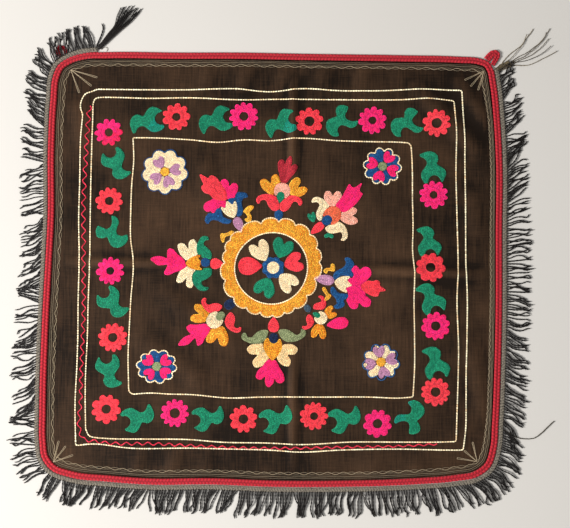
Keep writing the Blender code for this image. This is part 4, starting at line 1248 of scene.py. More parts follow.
# Spread of a cord's place, lean, length, thickness, bend, tip and rise off the floor
SPOT_SWAY = 0.28
LEAN_SWAY = 3.5
LENGTH_SWAY = 0.055
THICKNESS_SWAY = 0.06
BEND_SWAY = 1.4
TIP_SWAY = 1.9
HOP_SWAY = 0.45
CORD_TONE_SWAY = 0.12
BEND_SHARE = 1.6
# Where the three runs of cords meet
RIGHT_RUN_FROM = 250.0
LEFT_RUN_FROM = -255.0
# The left loop that the cords lie over: its middle from its foot, reach and height
LOOP_MIDDLE = (-2.5, 5.0)
LOOP_REACH = 11.0
LOOP_TOP = 2.1
# Loose threads: length of a step, sides, and the way along which the bunched strands are spaced
THREAD_STEP = 1.2
THREAD_SIDES = 5
BUNCH_WAY = (-0.33, 0.94)
# The end lock's cords: radius, twist, how the strands stand apart, how they pile up in layers,
# and how long the shorter ones are as a share
LOCK_RADIUS = 1.05
LOCK_TWIST = 7.0
LOCK_PLY = 0.38
LOCK_LAYERS = 3
LAYER_RISE = 0.75
SHORT_STRANDS = (0.72, 0.95)


def cord_material(colours, name="fringe_cord"):
    """Dark twisted cord, a little glossy."""
    tone = tuple(colours.cord)
    return yarn_material(name, tone, tuple(min(1.0, c * 1.7 + 0.003) for c in tone), 0.38, 0.03, 1.1)


def fringe_lie(share):
    """Lean, length and bend of the cords at shares of the fringe's length."""
    stops = [row[0] for row in FRINGE_LIE]
    return [np.interp(share, stops, [row[column] for row in FRINGE_LIE]) for column in (1, 2, 3)]


def make_fringe_cords(sizes, colours):
    """The twisted cords, with the clumps, gaps and crossings of a fringe that has been handled."""
    draw = np.random.default_rng(SEED + 1)
    path = heading_path()
    distances = lengths_along(path, False)[1]
    out = left_of(ways_along(path, False))
    middle = lengths_along(path + out * CORD_MIDDLE, False)[1]
    count = int(middle[-1] / CORD_PITCH)
    spots = (np.arange(count) + 0.5) * middle[-1] / count + draw.normal(0.0, SPOT_SWAY, count)
    spots = np.interp(spots, middle, distances)
    lean, long, bend = fringe_lie(spots / distances[-1])
    loop_middle = np.array(LEFT_LOOP_FOOT) + LOOP_MIDDLE
    parts = {"right": [], "bottom": [], "left": []}
    clump = draw.normal(0.0, CLUMP_LEAN, count // CLUMP_CORDS + 2)
    for number, spot in enumerate(spots):
        root = np.array([np.interp(spot, distances, path[:, axis]) for axis in (0, 1)])
        outward_way = np.array([np.interp(spot, distances, out[:, axis]) for axis in (0, 1)])
        outward_way /= np.linalg.norm(outward_way)
        foot = root + outward_way * (HEADING_WIDTH - CORD_TUCK)
        towards_end = np.array([outward_way[1], -outward_way[0]])
        group = number / CLUMP_CORDS
        gather = clump[int(group)] + (0.5 - group % 1.0) * CLUMP_GATHER
        angle = math.radians(lean[number] + gather + draw.normal(0.0, LEAN_SWAY))
        size = long[number] * draw.normal(1.0, LENGTH_SWAY)
        way = outward_way * math.cos(angle) + towards_end * math.sin(angle)
        side = np.array([-way[1], way[0]])
        sway = BEND_SHARE * bend[number] + draw.normal(0.0, BEND_SWAY)
        tip = draw.normal(0.0, TIP_SWAY)
        route = np.array([
            foot,
            foot + way * size * 0.12 + side * sway * 0.1,
            foot + way * size * 0.36 + side * sway,
            foot + way * size * 0.66 + side * (sway + tip) * 0.75,
            foot + way * size * 0.86 + side * (tip + draw.normal(0.0, 0.7)),
            foot + way * size + side * tip * 0.4,
        ])
        flat = evenly(smooth_curve(route, False, 6), CORD_STATION, False)
        radius = sizes.cord_diameter / MM / 2 * draw.normal(1.0, THICKNESS_SWAY)
        reach = np.linspace(0.0, 1.0, len(flat))
        hop = abs(draw.normal(0.0, HOP_SWAY)) * np.sin(math.pi * reach) ** 2
        over_loop = np.linalg.norm(flat - loop_middle, axis=1) / LOOP_REACH
        hop = np.maximum(hop, LOOP_TOP * eased(1.7 - over_loop))
        height = radius * 0.95 + 0.15 * (number % 2) + hop
        points = np.column_stack([flat, height])
        taper = radius * np.clip(1.25 - 0.6 * np.maximum(reach - 0.86, 0.0) / 0.14, 0.5, 1.0)
        rings, along, around = tube_rings(
            points, taper, CORD_SIDES, sizes.cord_twist / MM, CORD_PLY, CORD_FLAT)
        rings[..., 2] = np.maximum(rings[..., 2], CORD_FLOOR)
        # Painted shade: darker where the two strands dip in, times a random tone for each cord
        shade = (around / taper[:, None]) ** 1.5 * draw.normal(1.0, CORD_TONE_SWAY)
        edge = "bottom"
        if root[0] > RIGHT_RUN_FROM:
            edge = "right"
        elif root[0] < LEFT_RUN_FROM or root[1] > 0.0:
            edge = "left"
        parts[edge].append(swept(rings, False, along, shade, draw.random() * 0.6))
    material = cord_material(colours)
    for edge, runs in parts.items():
        piece_done(joined_piece(f"fringe_cords_{edge}", runs, [material]))


def loose_thread(route, diameter, height, sway=0.0, seed=0, tone=1.0):
    """A thin thread lying on the floor along a route."""
    flat = evenly(smooth_curve(route, False, 8), THREAD_STEP, False)
    draw = np.random.default_rng(SEED + seed)
    wander = np.convolve(draw.normal(0.0, sway, len(flat) + 6), np.ones(7) / 7, "valid")
    flat = flat + left_of(ways_along(flat, False)) * wander[: len(flat), None]
    points = np.column_stack([flat, np.full(len(flat), height)])
    rings, along, _ = tube_rings(points, diameter / 2, THREAD_SIDES)
    return swept(rings, False, along, tone, draw.random())


def make_loose_threads():
    """The warps that fray out of the heading's start, and the threads that hang loose."""
    grey = yarn_material("warp_thread", linear(*WARP_TONE), linear(*WARP_DRIFT))
    parts = []
    for number, route in enumerate(WARP_ENDS):
        parts.append(loose_thread(route, 0.8, 0.5 + 0.2 * number, 0.8, number))
    start, end = np.array(WARP_BUNCH)
    for number in range(BUNCH_STRANDS):
        over = np.array(BUNCH_WAY) * (number - BUNCH_STRANDS / 2 + 0.5)
        route = [start + over * 0.45, (start + end) / 2 + over * 0.75, end + over * 0.9]
        parts.append(loose_thread(route, 1.1, 0.9 + 0.35 * (number % 2), 1.4, 20 + number))
    parts.append(loose_thread(STRAY_THREAD, 1.1, 0.6, 0.5, 9, 0.3))
    parts.append(loose_thread(BOTTOM_STRAND, 0.9, 1.6, 0.5, 10, 0.3))
    parts.append(loose_thread(LITTLE_THREAD, 0.5, 0.5, 0.0, 11))
    piece_done(joined_piece("loose_warp_threads", parts, [grey]))


def make_end_lock(colours):
    """The bunched, unravelled cords at the fringe's far end."""
    draw = np.random.default_rng(SEED + 2)
    stem, widths = np.array(END_LOCK_STEM)[:, :2], np.array(END_LOCK_STEM)[:, 2]
    left = left_of(ways_along(stem, False))
    parts = []
    strands = 2 * len(END_LOCK_TIPS) - 4
    for number in range(strands):
        place = (number + 0.5) / strands
        over = place - 0.5
        layer = number % LOCK_LAYERS
        tip = np.array(END_LOCK_TIPS[round(place * (len(END_LOCK_TIPS) - 1))]) + draw.normal(0.0, 1.0, 2)
        if number % 2:
            tip = stem[-1] + (tip - stem[-1]) * draw.uniform(*SHORT_STRANDS)
        route = [stem[k] - left[k] * over * widths[k] for k in range(len(stem))]
        last = route[-1]
        bulge = left[-1] * over * -2.0
        route += [last + (tip - last) * 0.5 + bulge + draw.normal(0.0, 0.6, 2), tip]
        flat = evenly(smooth_curve(route, False, 6), CORD_STATION, False)
        reach = np.linspace(0.0, 1.0, len(flat))
        radius = LOCK_RADIUS * draw.normal(1.0, 0.08)
        height = radius + layer * LAYER_RISE * (1.0 - reach) ** 0.6 + 0.1
        points = np.column_stack([flat, height])
        rings, along, around = tube_rings(
            points, radius * np.clip(1.5 - reach, 0.72, 1.0), CORD_SIDES, LOCK_TWIST, LOCK_PLY, CORD_FLAT)
        rings[..., 2] = np.maximum(rings[..., 2], CORD_FLOOR)
        # Painted shade: darker where the two strands dip in, times a random tone for each strand
        shade = np.clip(around / radius, 0.3, 1.2) * draw.normal(1.0, CORD_TONE_SWAY)
        parts.append(swept(rings, False, along, shade, draw.random() * 0.7))
    piece_done(
        joined_piece("fringe_end_lock_cords", parts, [cord_material(colours, "unravelled_cord")]),
        ["fringe_end_lock"])


# Embroidery


YARN_NAMES = list(YARNS)
FILL_GRID = 0.42
PAD_HEIGHT = 0.38
# The pad's tone: painted shade between the rows
PAD_PAINTED_SHADE = 0.55
PAD_DEPTH = 0.3
PAD_STEP = 5
PAD_INSET = 0.55
PAD_DYE = 0.6
STITCH_SPREAD = 1.08
STITCH_SUNK = 0.12
# Tone of a stitch at its foot and what its height adds: painted shade on its low sides and in the gaps
# between rows
PAINTED_STITCH_FOOT = 0.74
PAINTED_STITCH_RISE = 0.72
# Shortest row and stitch that are kept, and the steps in which a single row follows its path
SHORT_ROW = 0.8
SHORT_STITCH = 0.25
LINE_STEP = 0.6
# Spread of the stitches' places, widths, heights and tones, and of each row's tone
PLACE_SWAY = 0.06
WIDTH_SWAY = 0.05
HEIGHT_SWAY = 0.08
TONE_SWAY = 0.13
ROW_TONE_SWAY = 0.035
DYE_SWAY = (0.20, 0.34)
# Room round a filled shape, and the least depth that takes a row
FILL_MARGIN = 1.5
LEAST_DEPTH = 0.3
# Length and height of the stitches in the cream lines, the ring's edges, the rims and the zigzag
LINE_STITCH = (3.0, 1.1)
RING_STITCH = (2.6, 1.1)
RIM_STITCH = (2.4, 1.0)
ZIGZAG_STITCH = (1.75, 1.0)
ZIGZAG_WIDTH = 1.55
# Roundness of the zigzag's turns, and the swing that it brings them to
ZIGZAG_TURN = (0.97, 1.2)


def pad_cells(inside, low):
    """The inside of a shape in coarse cells: points, triangles, and the sides along its rim."""
    wide = np.pad(inside - PAD_INSET, PAD_STEP, constant_values=-1.0)[::PAD_STEP, ::PAD_STEP]
    within = wide > 0.0
    busy = within[:-1, :-1] | within[1:, :-1] | within[1:, 1:] | within[:-1, 1:]
    numbers, places, triangles, rim = {}, [], [], []

    def point(key, place):
        if key not in numbers:
            numbers[key] = len(places)
            places.append(place)
        return numbers[key]

    for i, j in zip(*np.nonzero(busy)):
        corners = [(i, j), (i + 1, j), (i + 1, j + 1), (i, j + 1)]
        ring = []
        for start, end in zip(corners, corners[1:] + corners[:1]):
            if within[start]:
                ring.append((point(start, start), False))
            if within[start] != within[end]:
                share = wide[start] / (wide[start] - wide[end])
                place = (start[0] + share * (end[0] - start[0]), start[1] + share * (end[1] - start[1]))
                ring.append((point((min(start, end), max(start, end)), place), bool(within[start])))
        triangles += [(ring[0][0], ring[k][0], ring[k + 1][0]) for k in range(1, len(ring) - 1)]
        rim += [
            (here, after) for (here, leaving), (after, _) in zip(ring, ring[1:] + ring[:1]) if leaving]
    flat = (np.array(places).reshape(-1, 2) - 1.0) * PAD_STEP * FILL_GRID + low
    return flat, np.array(triangles, int).reshape(-1, 3), np.array(rim, int).reshape(-1, 2)


class Embroidery:
    """Stitches gathered for one piece: place, way, size, yarn and tone of each."""

    def __init__(self, sizes, seed):
        self.sizes = sizes
        self.draw = np.random.default_rng(SEED + seed)
        self.rows = []
        self.pads = []

    def add_row(self, path, closed, yarn, width, stitch, height, tint=None):
        """A row of chain stitches along a path, nose to tail."""
        total = lengths_along(path, closed)[1][-1]
        if total < SHORT_ROW:
            return
        count = max(1, round(total / stitch))
        steps = np.linspace(0.0, total, count + 1)
        if count > 2:
            steps[1:-1] += self.draw.normal(0.0, PLACE_SWAY * stitch, count - 1)
        places = places_along(path, steps, closed)
        run = np.diff(places, axis=0)
        long = np.linalg.norm(run, axis=1)
        keep = long > SHORT_STITCH
        count = int(keep.sum())
        if not count:
            return
        numbers = np.full(count, YARN_NAMES.index(yarn))
        if tint:
            second, way, start = tint
            numbers[places[:-1][keep] @ np.array(way) > start] = YARN_NAMES.index(second)
        row_tone = self.draw.normal(1.0, ROW_TONE_SWAY)
        dye = 0.5 + DYE_SWAY[0] * self.draw.normal() + DYE_SWAY[1] * self.draw.normal(size=count)
        self.rows.append(np.column_stack([
            places[:-1][keep], np.arctan2(run[keep, 1], run[keep, 0]), long[keep],
            width * self.draw.normal(1.0, WIDTH_SWAY, count),
            height * self.draw.normal(1.0, HEIGHT_SWAY, count),
            numbers, row_tone * self.draw.normal(1.0, TONE_SWAY, count), np.clip(dye, 0.0, 1.0),
        ]))

    def fill(self, shapes):
        """Fill shapes with rows that follow their outlines. Each is cut back by the ones before."""
        row_gap = self.sizes.row_spacing / MM
        stitch = self.sizes.stitch_length / MM
        height = self.sizes.stitch_height / MM
        everything = np.vstack([outline for outline, *_ in shapes])
        low = everything.min(axis=0) - FILL_MARGIN
        count = ((everything.max(axis=0) + FILL_MARGIN - low) / FILL_GRID).astype(int) + 2
        x = low[0] + FILL_GRID * np.arange(count[0])[:, None]
        y = low[1] + FILL_GRID * np.arange(count[1])[None, :]
        x, y = np.broadcast_arrays(x, y)
        covered = np.full(x.shape, -FAR)
        for outline, yarn, *tint in shapes:
            inside = inside_distance(outline, x, y)
            free = np.minimum(inside, -covered)
            covered = np.maximum(covered, inside)
            deepest = float(free.max())
            if yarn is None or deepest < LEAST_DEPTH:
                continue
            self.pads.append((*pad_cells(free, low), yarn))
            rows = max(1, round(deepest / row_gap))
            gap = deepest / rows
            for row in range(rows):
                for loop in contours(free, (row + 0.5) * gap, *low, FILL_GRID):
                    self.add_row(
                        loop, True, yarn, gap * STITCH_SPREAD, stitch, height, tint=tint[0] if tint else None)

    def line(self, path, closed, yarn, width, stitch, height):
        """One row of chain stitches by itself."""
        self.add_row(evenly(path, LINE_STEP, closed), closed, yarn, width, stitch, height)

    def pad_part(self, flat, cover, rim, slot):
        """The threads that show between the rows of a filled shape, as a thin pad under them, darkened as
        painted shade.
        """
        ground = lift_at(flat[:, 0], flat[:, 1]) + self.sizes.cloth_thickness / MM
        top = np.column_stack([flat, ground + PAD_HEIGHT])
        bottom = np.column_stack([flat, ground - PAD_DEPTH])
        count = len(flat)
        leave, enter = rim.T
        walls = np.stack([leave, leave + count, enter + count, enter], axis=1)
        return part_of(
            np.vstack([top, bottom]), [np.vstack([cover, cover[:, ::-1] + count]), walls],
            shade=PAD_PAINTED_SHADE, dye=PAD_DYE, material=slot)

    def piece(self, name, yarns):
        """All stitches as one mesh on the cloth's surface."""
        stitches = np.vstack(self.rows)
        x, y, turn, long, wide, high, yarn, shade, dye = stitches.T
        shape = np.array(STITCH_POINTS)
        along = shape[None, :, 0] * long[:, None]
        over = shape[None, :, 1] * wide[:, None]
        cos, sin = np.cos(turn)[:, None], np.sin(turn)[:, None]
        px = x[:, None] + along * cos - over * sin
        py = y[:, None] + along * sin + over * cos
        ground = lift_at(px, py) + self.sizes.cloth_thickness / MM - STITCH_SUNK
        pz = ground + shape[None, :, 2] * high[:, None]
        points = np.stack([px, py, pz], axis=2).reshape(-1, 3)
        faces = np.array(STITCH_FACES)[None] + (np.arange(len(x)) * len(shape))[:, None, None]
        per = len(shape)
        # Painted shade: each stitch darker towards its foot and lighter on its ridges
        painted_hollow_shade = PAINTED_STITCH_FOOT + PAINTED_STITCH_RISE * shape[:, 2]
        used = sorted(set(yarn.astype(int)))
        slot = np.array([used.index(int(number)) for number in yarn])
        pads = [
            self.pad_part(flat, cover, rim, used.index(YARN_NAMES.index(tone)))
            for flat, cover, rim, tone in self.pads if len(rim) and YARN_NAMES.index(tone) in used
        ]
        part = part_of(
            points, [faces.reshape(-1, 3)], along.reshape(-1), (over / 2 + 0.5).reshape(-1),
            np.repeat(shade, per) * np.tile(painted_hollow_shade, len(x)), np.repeat(dye, per),
            np.repeat(slot, len(STITCH_FACES)))
        piece_done(
            joined_piece(name, [part, *pads], [yarns[YARN_NAMES[number]] for number in used]))


def yarn_set():
    """One material for each yarn, made once."""
    made = {}
    for name, (tone, drift) in YARNS.items():
        known = bpy.data.materials.get("yarn_" + name)
        made[name] = known or yarn_material("yarn_" + name, linear(*tone), linear(*drift))
    return made


def petalled(middle, radius, petals, dip, turn=0.0, squash=1.0, roundness=2.0, drift=0.0):
    """A round outline with scalloped petals."""
    turns = np.linspace(0.0, 2 * math.pi, petals * 12, endpoint=False)
    shift = drift * (np.sin(2 * turns + 5 * turn) + np.sin(3 * turns + 9 * turn))
    across = petals * (turns - turn + shift) / (2 * math.pi) % 1.0 * 2.0 - 1.0
    bulge = (1.0 - np.abs(across) ** roundness) ** 0.8
    reach = radius - dip * (1.0 - bulge)
    reach = reach + 0.012 * radius * (np.sin(2 * turns + 0.8) + 0.7 * np.sin(3 * turns + radius))
    return np.column_stack([
        middle[0] + reach * np.cos(turns), middle[1] + reach * np.sin(turns) * squash])


def scalloped(middle, cusps, swell, grow=0.0):
    """An outline of scallops between cusps, each swelling by a share of its width."""
    turns = np.radians([turn for turn, _ in cusps])
    reach = np.array([distance for _, distance in cusps]) + grow
    corners = np.column_stack([reach * np.cos(turns), reach * np.sin(turns)]) + np.array(middle)
    outline = []
    for start, end in zip(corners, np.roll(corners, -1, axis=0)):
        run = end - start
        out = np.array([-run[1], run[0]])
        for share in np.linspace(0.0, 1.0, 12, endpoint=False):
            outline.append(start + run * share + out * swell * 2.0 * math.sqrt(share * (1.0 - share)))
    return np.array(outline)


def shape_outline(shape, foot, head, width):
    """One of the named shapes, set from its foot to its head."""
    foot, head = np.array(foot, float), np.array(head, float)
    ahead = head - foot
    right = np.array([ahead[1], -ahead[0]]) / np.linalg.norm(ahead)
    points = np.array(SHAPES[shape], float)
    placed = foot + points[:, :1] * right * width + points[:, 1:] * ahead
    return smooth_curve(placed, True, 5)


def placed_shapes(rows):
    """Outlines and yarns of table rows: shape, yarn, foot, head and width."""
    return [
        (shape_outline(shape, (x, y), (to_x, to_y), width), yarn)
        for shape, yarn, x, y, to_x, to_y, width in rows]


def turned(points, middle, degrees, size):
    """Points turned and sized round zero, then set round a middle."""
    angle = math.radians(degrees)
    turn = np.array([[math.cos(angle), math.sin(angle)], [-math.sin(angle), math.cos(angle)]])
    return np.array(points, float) * size @ turn + np.array(middle)


def make_border_flowers(sizes, yarns):
    """The round pink and coral flowers of the border, each with an open eye."""
    work = Embroidery(sizes, 10)
    for x, y, yarn in BORDER_FLOWERS:
        spin = work.draw.random()
        radius = FLOWER_RADIUS * work.draw.normal(1.0, 0.02)
        petals = FLOWER_PETALS[int(work.draw.integers(len(FLOWER_PETALS)))]
        eye = petalled((x, y), work.draw.uniform(*FLOWER_HOLES), 5, 0.4, spin)
        cleft = work.draw.uniform(*FLOWER_CLEFTS)
        outline = petalled((x, y), radius, petals, cleft, spin, 1.0, FLOWER_ROUNDNESS, PETAL_DRIFT)
        tint = (TWO_TONE_YARN, TWO_TONE_WAY, TWO_TONE_START) if (x, y) == TWO_TONE_FLOWER else None
        work.fill([(eye, None), (outline, yarn, tint)])
    work.piece("embroidered_border_flowers", yarns)


def make_border_leaves(sizes, yarns):
    """The hooked green leaves between the flowers."""
    work = Embroidery(sizes, 11)
    for form, x, y, turn, size, lobe in BORDER_LEAVES:
        outline = smooth_curve(turned(LEAVES[form], (x, y), turn, size), True, 5)
        way = turned([(0.7, -0.7)], (0.0, 0.0), turn, 1.0)[0]
        flowers = [row[:2] for row in BORDER_FLOWERS if math.dist(row[:2], (x, y)) < NEAR_FLOWER]
        shapes = [(petalled(middle, FLOWER_RADIUS - 0.8, 10, 0.0), None) for middle in flowers]
        work.fill([*shapes, (outline, "green", (lobe, way, LOBE_START + float(way @ (x, y))))])
    work.piece("embroidered_border_leaves", yarns)


def make_medallion(sizes, yarns):
    """The scalloped gold ring with its hearts and blue rose."""
    work = Embroidery(sizes, 12)
    outer = scalloped(MEDALLION, RING_CUSPS, RING_SWELL)
    inner = petalled(MEDALLION, RING_INNER, 6, 0.0)
    work.fill([(inner, None), (outer, "gold")])
    rims = [scalloped(MEDALLION, RING_CUSPS, RING_SWELL, 0.8), petalled(MEDALLION, RING_INNER - 0.5, 6, 0.0)]
    for rim in rims:
        work.line(rim, True, "cream", sizes.line_width / MM, *RING_STITCH)
    rose = [(petalled(ROSE, CENTRE_DISC, 6, 0.3), "cream"), (petalled(ROSE, CENTRE_ROSE, 8, 2.6), "blue")]
    work.fill(rose + placed_shapes(HEARTS))
    work.piece("embroidered_medallion", yarns)


def make_palmettes(sizes, yarns):
    """The eight palmettes that grow from the medallion."""
    work = Embroidery(sizes, 13)
    for rows in PALMETTES.values():
        work.fill(placed_shapes(rows))
    work.piece("embroidered_palmettes", yarns)


def make_rosettes(sizes, yarns):
    """The four scalloped rosettes at the corners of the square."""
    work = Embroidery(sizes, 14)
    foot, head, width = ROSETTE_HEART
    for x, y, across, up, scallops, ground, heart, rim, eye, turns in ROSETTES:
        squash = up / across
        shapes = [(petalled((x, y), ROSETTE_EYE, 5, 0.2), eye)]
        for turn in turns:
            way = np.array([math.cos(math.radians(turn)), math.sin(math.radians(turn)) * squash])
            shapes.append((shape_outline("heart", way * foot + (x, y), way * head + (x, y), width), heart))
        shapes.append((petalled((x, y), across - 1.6, scallops, ROSETTE_CLEFT, 0.2, squash), ground))
        work.fill(shapes)
        rim_width = sizes.line_width / MM * (1.0 if rim == "cream" else 0.8)
        edge = petalled((x, y), across - 0.7, scallops, ROSETTE_CLEFT, 0.2, squash)
        work.line(edge, True, rim, rim_width, *RIM_STITCH)
    work.piece("embroidered_corner_rosettes", yarns)


def make_lines(sizes, yarns):
    """The three cream lines and the red zigzag between the outer two."""
    work = Embroidery(sizes, 15)
    for line in (OUTER_LINE, SECOND_LINE, SQUARE_LINE):
        work.line(smooth_curve(line, True, 10), True, "cream", sizes.line_width / MM, *LINE_STITCH)
    middle = evenly(smooth_curve(ZIGZAG_LINE, False, 10), 0.5, False)
    along = lengths_along(middle, False)[1]
    period = np.interp(along, (0.0, along[-1]), ZIGZAG_PERIODS)
    turns = np.cumsum(np.gradient(along) / period)
    bent, full = ZIGZAG_TURN
    swing = np.interp(along, (0.0, along[-1]), ZIGZAG_SWINGS)
    swing = swing * np.arcsin(bent * np.sin(2 * math.pi * turns)) / full
    zigzag = middle + left_of(ways_along(middle, False)) * swing[:, None]
    work.line(zigzag, False, "red", ZIGZAG_WIDTH, *ZIGZAG_STITCH)
    work.piece("embroidered_lines", yarns)


# The rows on the right are drawn outwards, from this x and up to this y, and looped tightly
PULLED_FROM_X = 200.0
PULLED_TO_Y = 215.0
PULL_FADE = 40.0
RIGHT_PULL = 0.26
TIGHT_LOOP = 7.5
TIGHT_SWING = 0.9
# A slow drift of each row: its spread and the points that it is averaged over
ROW_DRIFT = 0.35
ROW_DRIFT_SPAN = 15
# Corner rays: how far their two threads are apart, thickness as a share and tone
RAY_SPREAD = 0.85
RAY_THICKNESS = 0.9
RAY_TONE = 1.7
THREAD_TONE_SHARE = 0.45
COUCHED_STEP = 1.5
# Couched rows: depth inside the braid, swing, waves, start, thickness as a share and tone
EDGE_ROWS = [
    (2.6, 0.12, 61, 0.0, 0.95, 0.62), (4.4, 0.15, 55, 1.0, 1.0, 0.95), (6.4, 0.2, 47, 2.0, 0.8, 0.52),
    (8.3, 1.3, 104, 0.0, 0.95, 1.6), (8.7, 1.1, 104, math.pi, 0.8, 0.95),
]


def couched_thread(path, diameter, ground, tone, closed=True):
    """A thin thread sewn down on the cloth along a path."""
    heights = lift_at(path[:, 0], path[:, 1]) + ground
    points = np.column_stack([path, heights])
    if closed:
        points = np.vstack([points, points[:1]])
    rings, along, _ = tube_rings(points, diameter / 2, 4)
    return swept(rings, False, along, tone, 0.4)


def make_edge_threads(sizes, colours):
    """Three straight couched rows and a pair of crossing waves inside the braid, with corner rays."""
    draw = np.random.default_rng(SEED + 16)
    yarn = tuple(colours.edge_thread)
    olive = yarn_material("edge_thread", yarn, darker(yarn, THREAD_TONE_SHARE))
    thick = sizes.thread_diameter / MM
    ground = sizes.cloth_thickness / MM + thick * 0.35
    parts = []
    for depth, wave, waves, start, share, tone in EDGE_ROWS:
        base = evenly(shifted(EDGE, -(BINDING_WIDTH + depth)), COUCHED_STEP, True)
        pull = np.where(base[:, 0] > PULLED_FROM_X, RIGHT_PULL * depth, 0.0)
        base[:, 0] += pull * eased((PULLED_TO_Y - np.abs(base[:, 1])) / PULL_FADE)
        along = lengths_along(base, True)[1][:-1]
        slow = wave * np.sin(2 * math.pi * waves * along / along[-1] + start)
        tight = min(wave, TIGHT_SWING) * np.sin(2 * math.pi * along / TIGHT_LOOP + start)
        pulled = (base[:, 0] > PULLED_FROM_X) & (np.abs(base[:, 1]) < PULLED_TO_Y)
        even = np.ones(ROW_DRIFT_SPAN) / ROW_DRIFT_SPAN
        drift = np.convolve(draw.normal(0.0, 1.0, len(base) + ROW_DRIFT_SPAN - 1), even, "valid")
        wander = np.where(pulled, tight, slow) + ROW_DRIFT * drift
        path = base + left_of(ways_along(base, True)) * wander[:, None]
        parts.append(couched_thread(path, thick * share, ground, tone))
    for start, ends in CORNER_RAYS:
        for end in ends:
            aside = left_of(ways_along(np.array([start, end]), False))[0] * RAY_SPREAD
            route = evenly(np.array([start, end + aside, end - aside, start]), COUCHED_STEP, False)
            parts.append(couched_thread(route, thick * RAY_THICKNESS, ground, RAY_TONE, False))
    piece_done(joined_piece("couched_edge_threads", parts, [olive]))


# Stage


CAMERA_AIM = (0.013, 0.004, 0.0)
CAMERA_DISTANCE = 1.4
CAMERA_TILT = 4.5
CAMERA_LENS = 74.54
FLOOR_SIZE = 14.0
FLOOR_DROP = 0.0002
WORLD_COLOUR = (0.95, 0.97, 1.0, 1.0)
WORLD_STRENGTH = 0.34
# Soft lights: name, place, size, power
LIGHTS = [("key", (-2.1, -0.55, 1.4), 0.7, 122.0), ("fill", (1.7, -1.2, 2.4), 2.2, 9.0)]


def make_stage(colours):
    """A pale floor, soft lights and the camera at the photo's angle."""
    bpy.ops.mesh.primitive_plane_add(size=FLOOR_SIZE, location=(0.0, 0.0, -FLOOR_DROP))
    floor = bpy.context.object
    floor.name = "studio_floor"
    floor.data.transform(floor.matrix_world)
    floor.location = (0.0, 0.0, 0.0)
    floor.data.materials.append(floor_material(colours))
    world = bpy.data.worlds.new("studio_world")
    world.use_nodes = True
    background = world.node_tree.nodes["Background"]
    background.inputs["Color"].default_value = WORLD_COLOUR
    background.inputs["Strength"].default_value = WORLD_STRENGTH
    bpy.context.scene.world = world
    bpy.context.scene.view_settings.view_transform = "Standard"
    for name, place, size, power in LIGHTS:
        light = bpy.data.lights.new(name, "AREA")
        light.size = size
        light.energy = power
        lamp = bpy.data.objects.new(name, light)
        lamp.location = place
        lamp.rotation_euler = (-Vector(place)).to_track_quat("-Z", "Y").to_euler()
        bpy.context.collection.objects.link(lamp)
    camera_data = bpy.data.cameras.new("photo_camera")
    camera_data.sensor_width = 36.0
    camera_data.lens = CAMERA_LENS
    camera_data.clip_end = 50.0
    camera = bpy.data.objects.new("photo_camera", camera_data)
    tilt = math.radians(CAMERA_TILT)
    aim = Vector(CAMERA_AIM)
    camera.location = aim + Vector((0.0, -math.sin(tilt), math.cos(tilt))) * CAMERA_DISTANCE
    camera.rotation_euler = (tilt, 0.0, 0.0)
    bpy.context.collection.objects.link(camera)
    bpy.context.scene.camera = camera


# Operators


def sizes_of(context):
    return context.scene.suzani_sizes


def colours_of(context):
    return context.scene.suzani_colours


class SUZANI_OT_stage(bpy.types.Operator):
    """Add the pale floor, the soft lights and the camera"""

    bl_idname = "suzani.stage"
    bl_label = "Stage"

    def execute(self, context):
        make_stage(colours_of(context))
        return {"FINISHED"}


class SUZANI_OT_ground_cloth(bpy.types.Operator):
    """Lay the cotton square on its folds"""

    bl_idname = "suzani.ground_cloth"
    bl_label = "Ground cloth"

    def execute(self, context):
        context.scene["suzani_flat"] = make_ground_cloth(sizes_of(context), colours_of(context))
        return {"FINISHED"}


class SUZANI_OT_binding(bpy.types.Operator):
    """Sew the red braid round the cloth and its loops behind the corners"""

    bl_idname = "suzani.binding"
    bl_label = "Binding and loops"

    def execute(self, context):
        make_binding(sizes_of(context), colours_of(context))
        make_hanging_loops(sizes_of(context), colours_of(context))
        return {"FINISHED"}


class SUZANI_OT_fringe(bpy.types.Operator):
    """Add the heading tape, its cords, the end lock and the loose threads"""

    bl_idname = "suzani.fringe"
    bl_label = "Fringe"

    def execute(self, context):
        make_heading(colours_of(context))
        make_fringe_cords(sizes_of(context), colours_of(context))
        make_loose_threads()
        make_end_lock(colours_of(context))
        return {"FINISHED"}


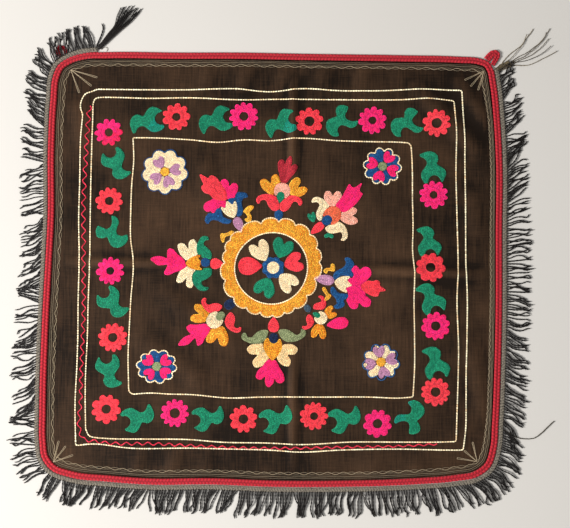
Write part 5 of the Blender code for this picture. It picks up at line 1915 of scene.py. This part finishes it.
class SUZANI_OT_border(bpy.types.Operator):
    """Embroider the border: flowers, leaves, lines and couched threads"""

    bl_idname = "suzani.border"
    bl_label = "Border embroidery"

    def execute(self, context):
        yarns = yarn_set()
        make_border_flowers(sizes_of(context), yarns)
        make_border_leaves(sizes_of(context), yarns)
        make_lines(sizes_of(context), yarns)
        make_edge_threads(sizes_of(context), colours_of(context))
        return {"FINISHED"}


class SUZANI_OT_field(bpy.types.Operator):
    """Embroider the field: medallion, palmettes and corner rosettes"""

    bl_idname = "suzani.field"
    bl_label = "Field embroidery"

    def execute(self, context):
        yarns = yarn_set()
        make_medallion(sizes_of(context), yarns)
        make_palmettes(sizes_of(context), yarns)
        make_rosettes(sizes_of(context), yarns)
        return {"FINISHED"}


OPERATORS = (
    SUZANI_OT_stage, SUZANI_OT_ground_cloth, SUZANI_OT_binding, SUZANI_OT_fringe, SUZANI_OT_border,
    SUZANI_OT_field,
)


class SUZANI_PT_pieces(bpy.types.Panel):
    """Lists the pieces of the suzani"""

    bl_label = "Suzani"
    bl_idname = "SUZANI_PT_pieces"
    bl_space_type = "VIEW_3D"
    bl_region_type = "UI"
    bl_category = "Suzani"

    def draw(self, context):
        for operator in OPERATORS:
            self.layout.operator(operator.bl_idname)
        for group in (sizes_of(context), colours_of(context)):
            for key in group.__annotations__:
                self.layout.prop(group, key)


CLASSES = (SuzaniSizes, SuzaniColours, *OPERATORS, SUZANI_PT_pieces)


def register():
    for each in CLASSES:
        bpy.utils.register_class(each)
    bpy.types.Scene.suzani_sizes = bpy.props.PointerProperty(type=SuzaniSizes)
    bpy.types.Scene.suzani_colours = bpy.props.PointerProperty(type=SuzaniColours)


def unregister():
    del bpy.types.Scene.suzani_colours
    del bpy.types.Scene.suzani_sizes
    for each in reversed(CLASSES):
        bpy.utils.unregister_class(each)


def main():
    register()
    bpy.ops.object.select_all(action="DESELECT")
    bpy.ops.suzani.stage()
    bpy.ops.suzani.ground_cloth()
    bpy.ops.suzani.binding()
    bpy.ops.suzani.fringe()
    bpy.ops.suzani.border()
    bpy.ops.suzani.field()


if __name__ == "__main__":
    main()
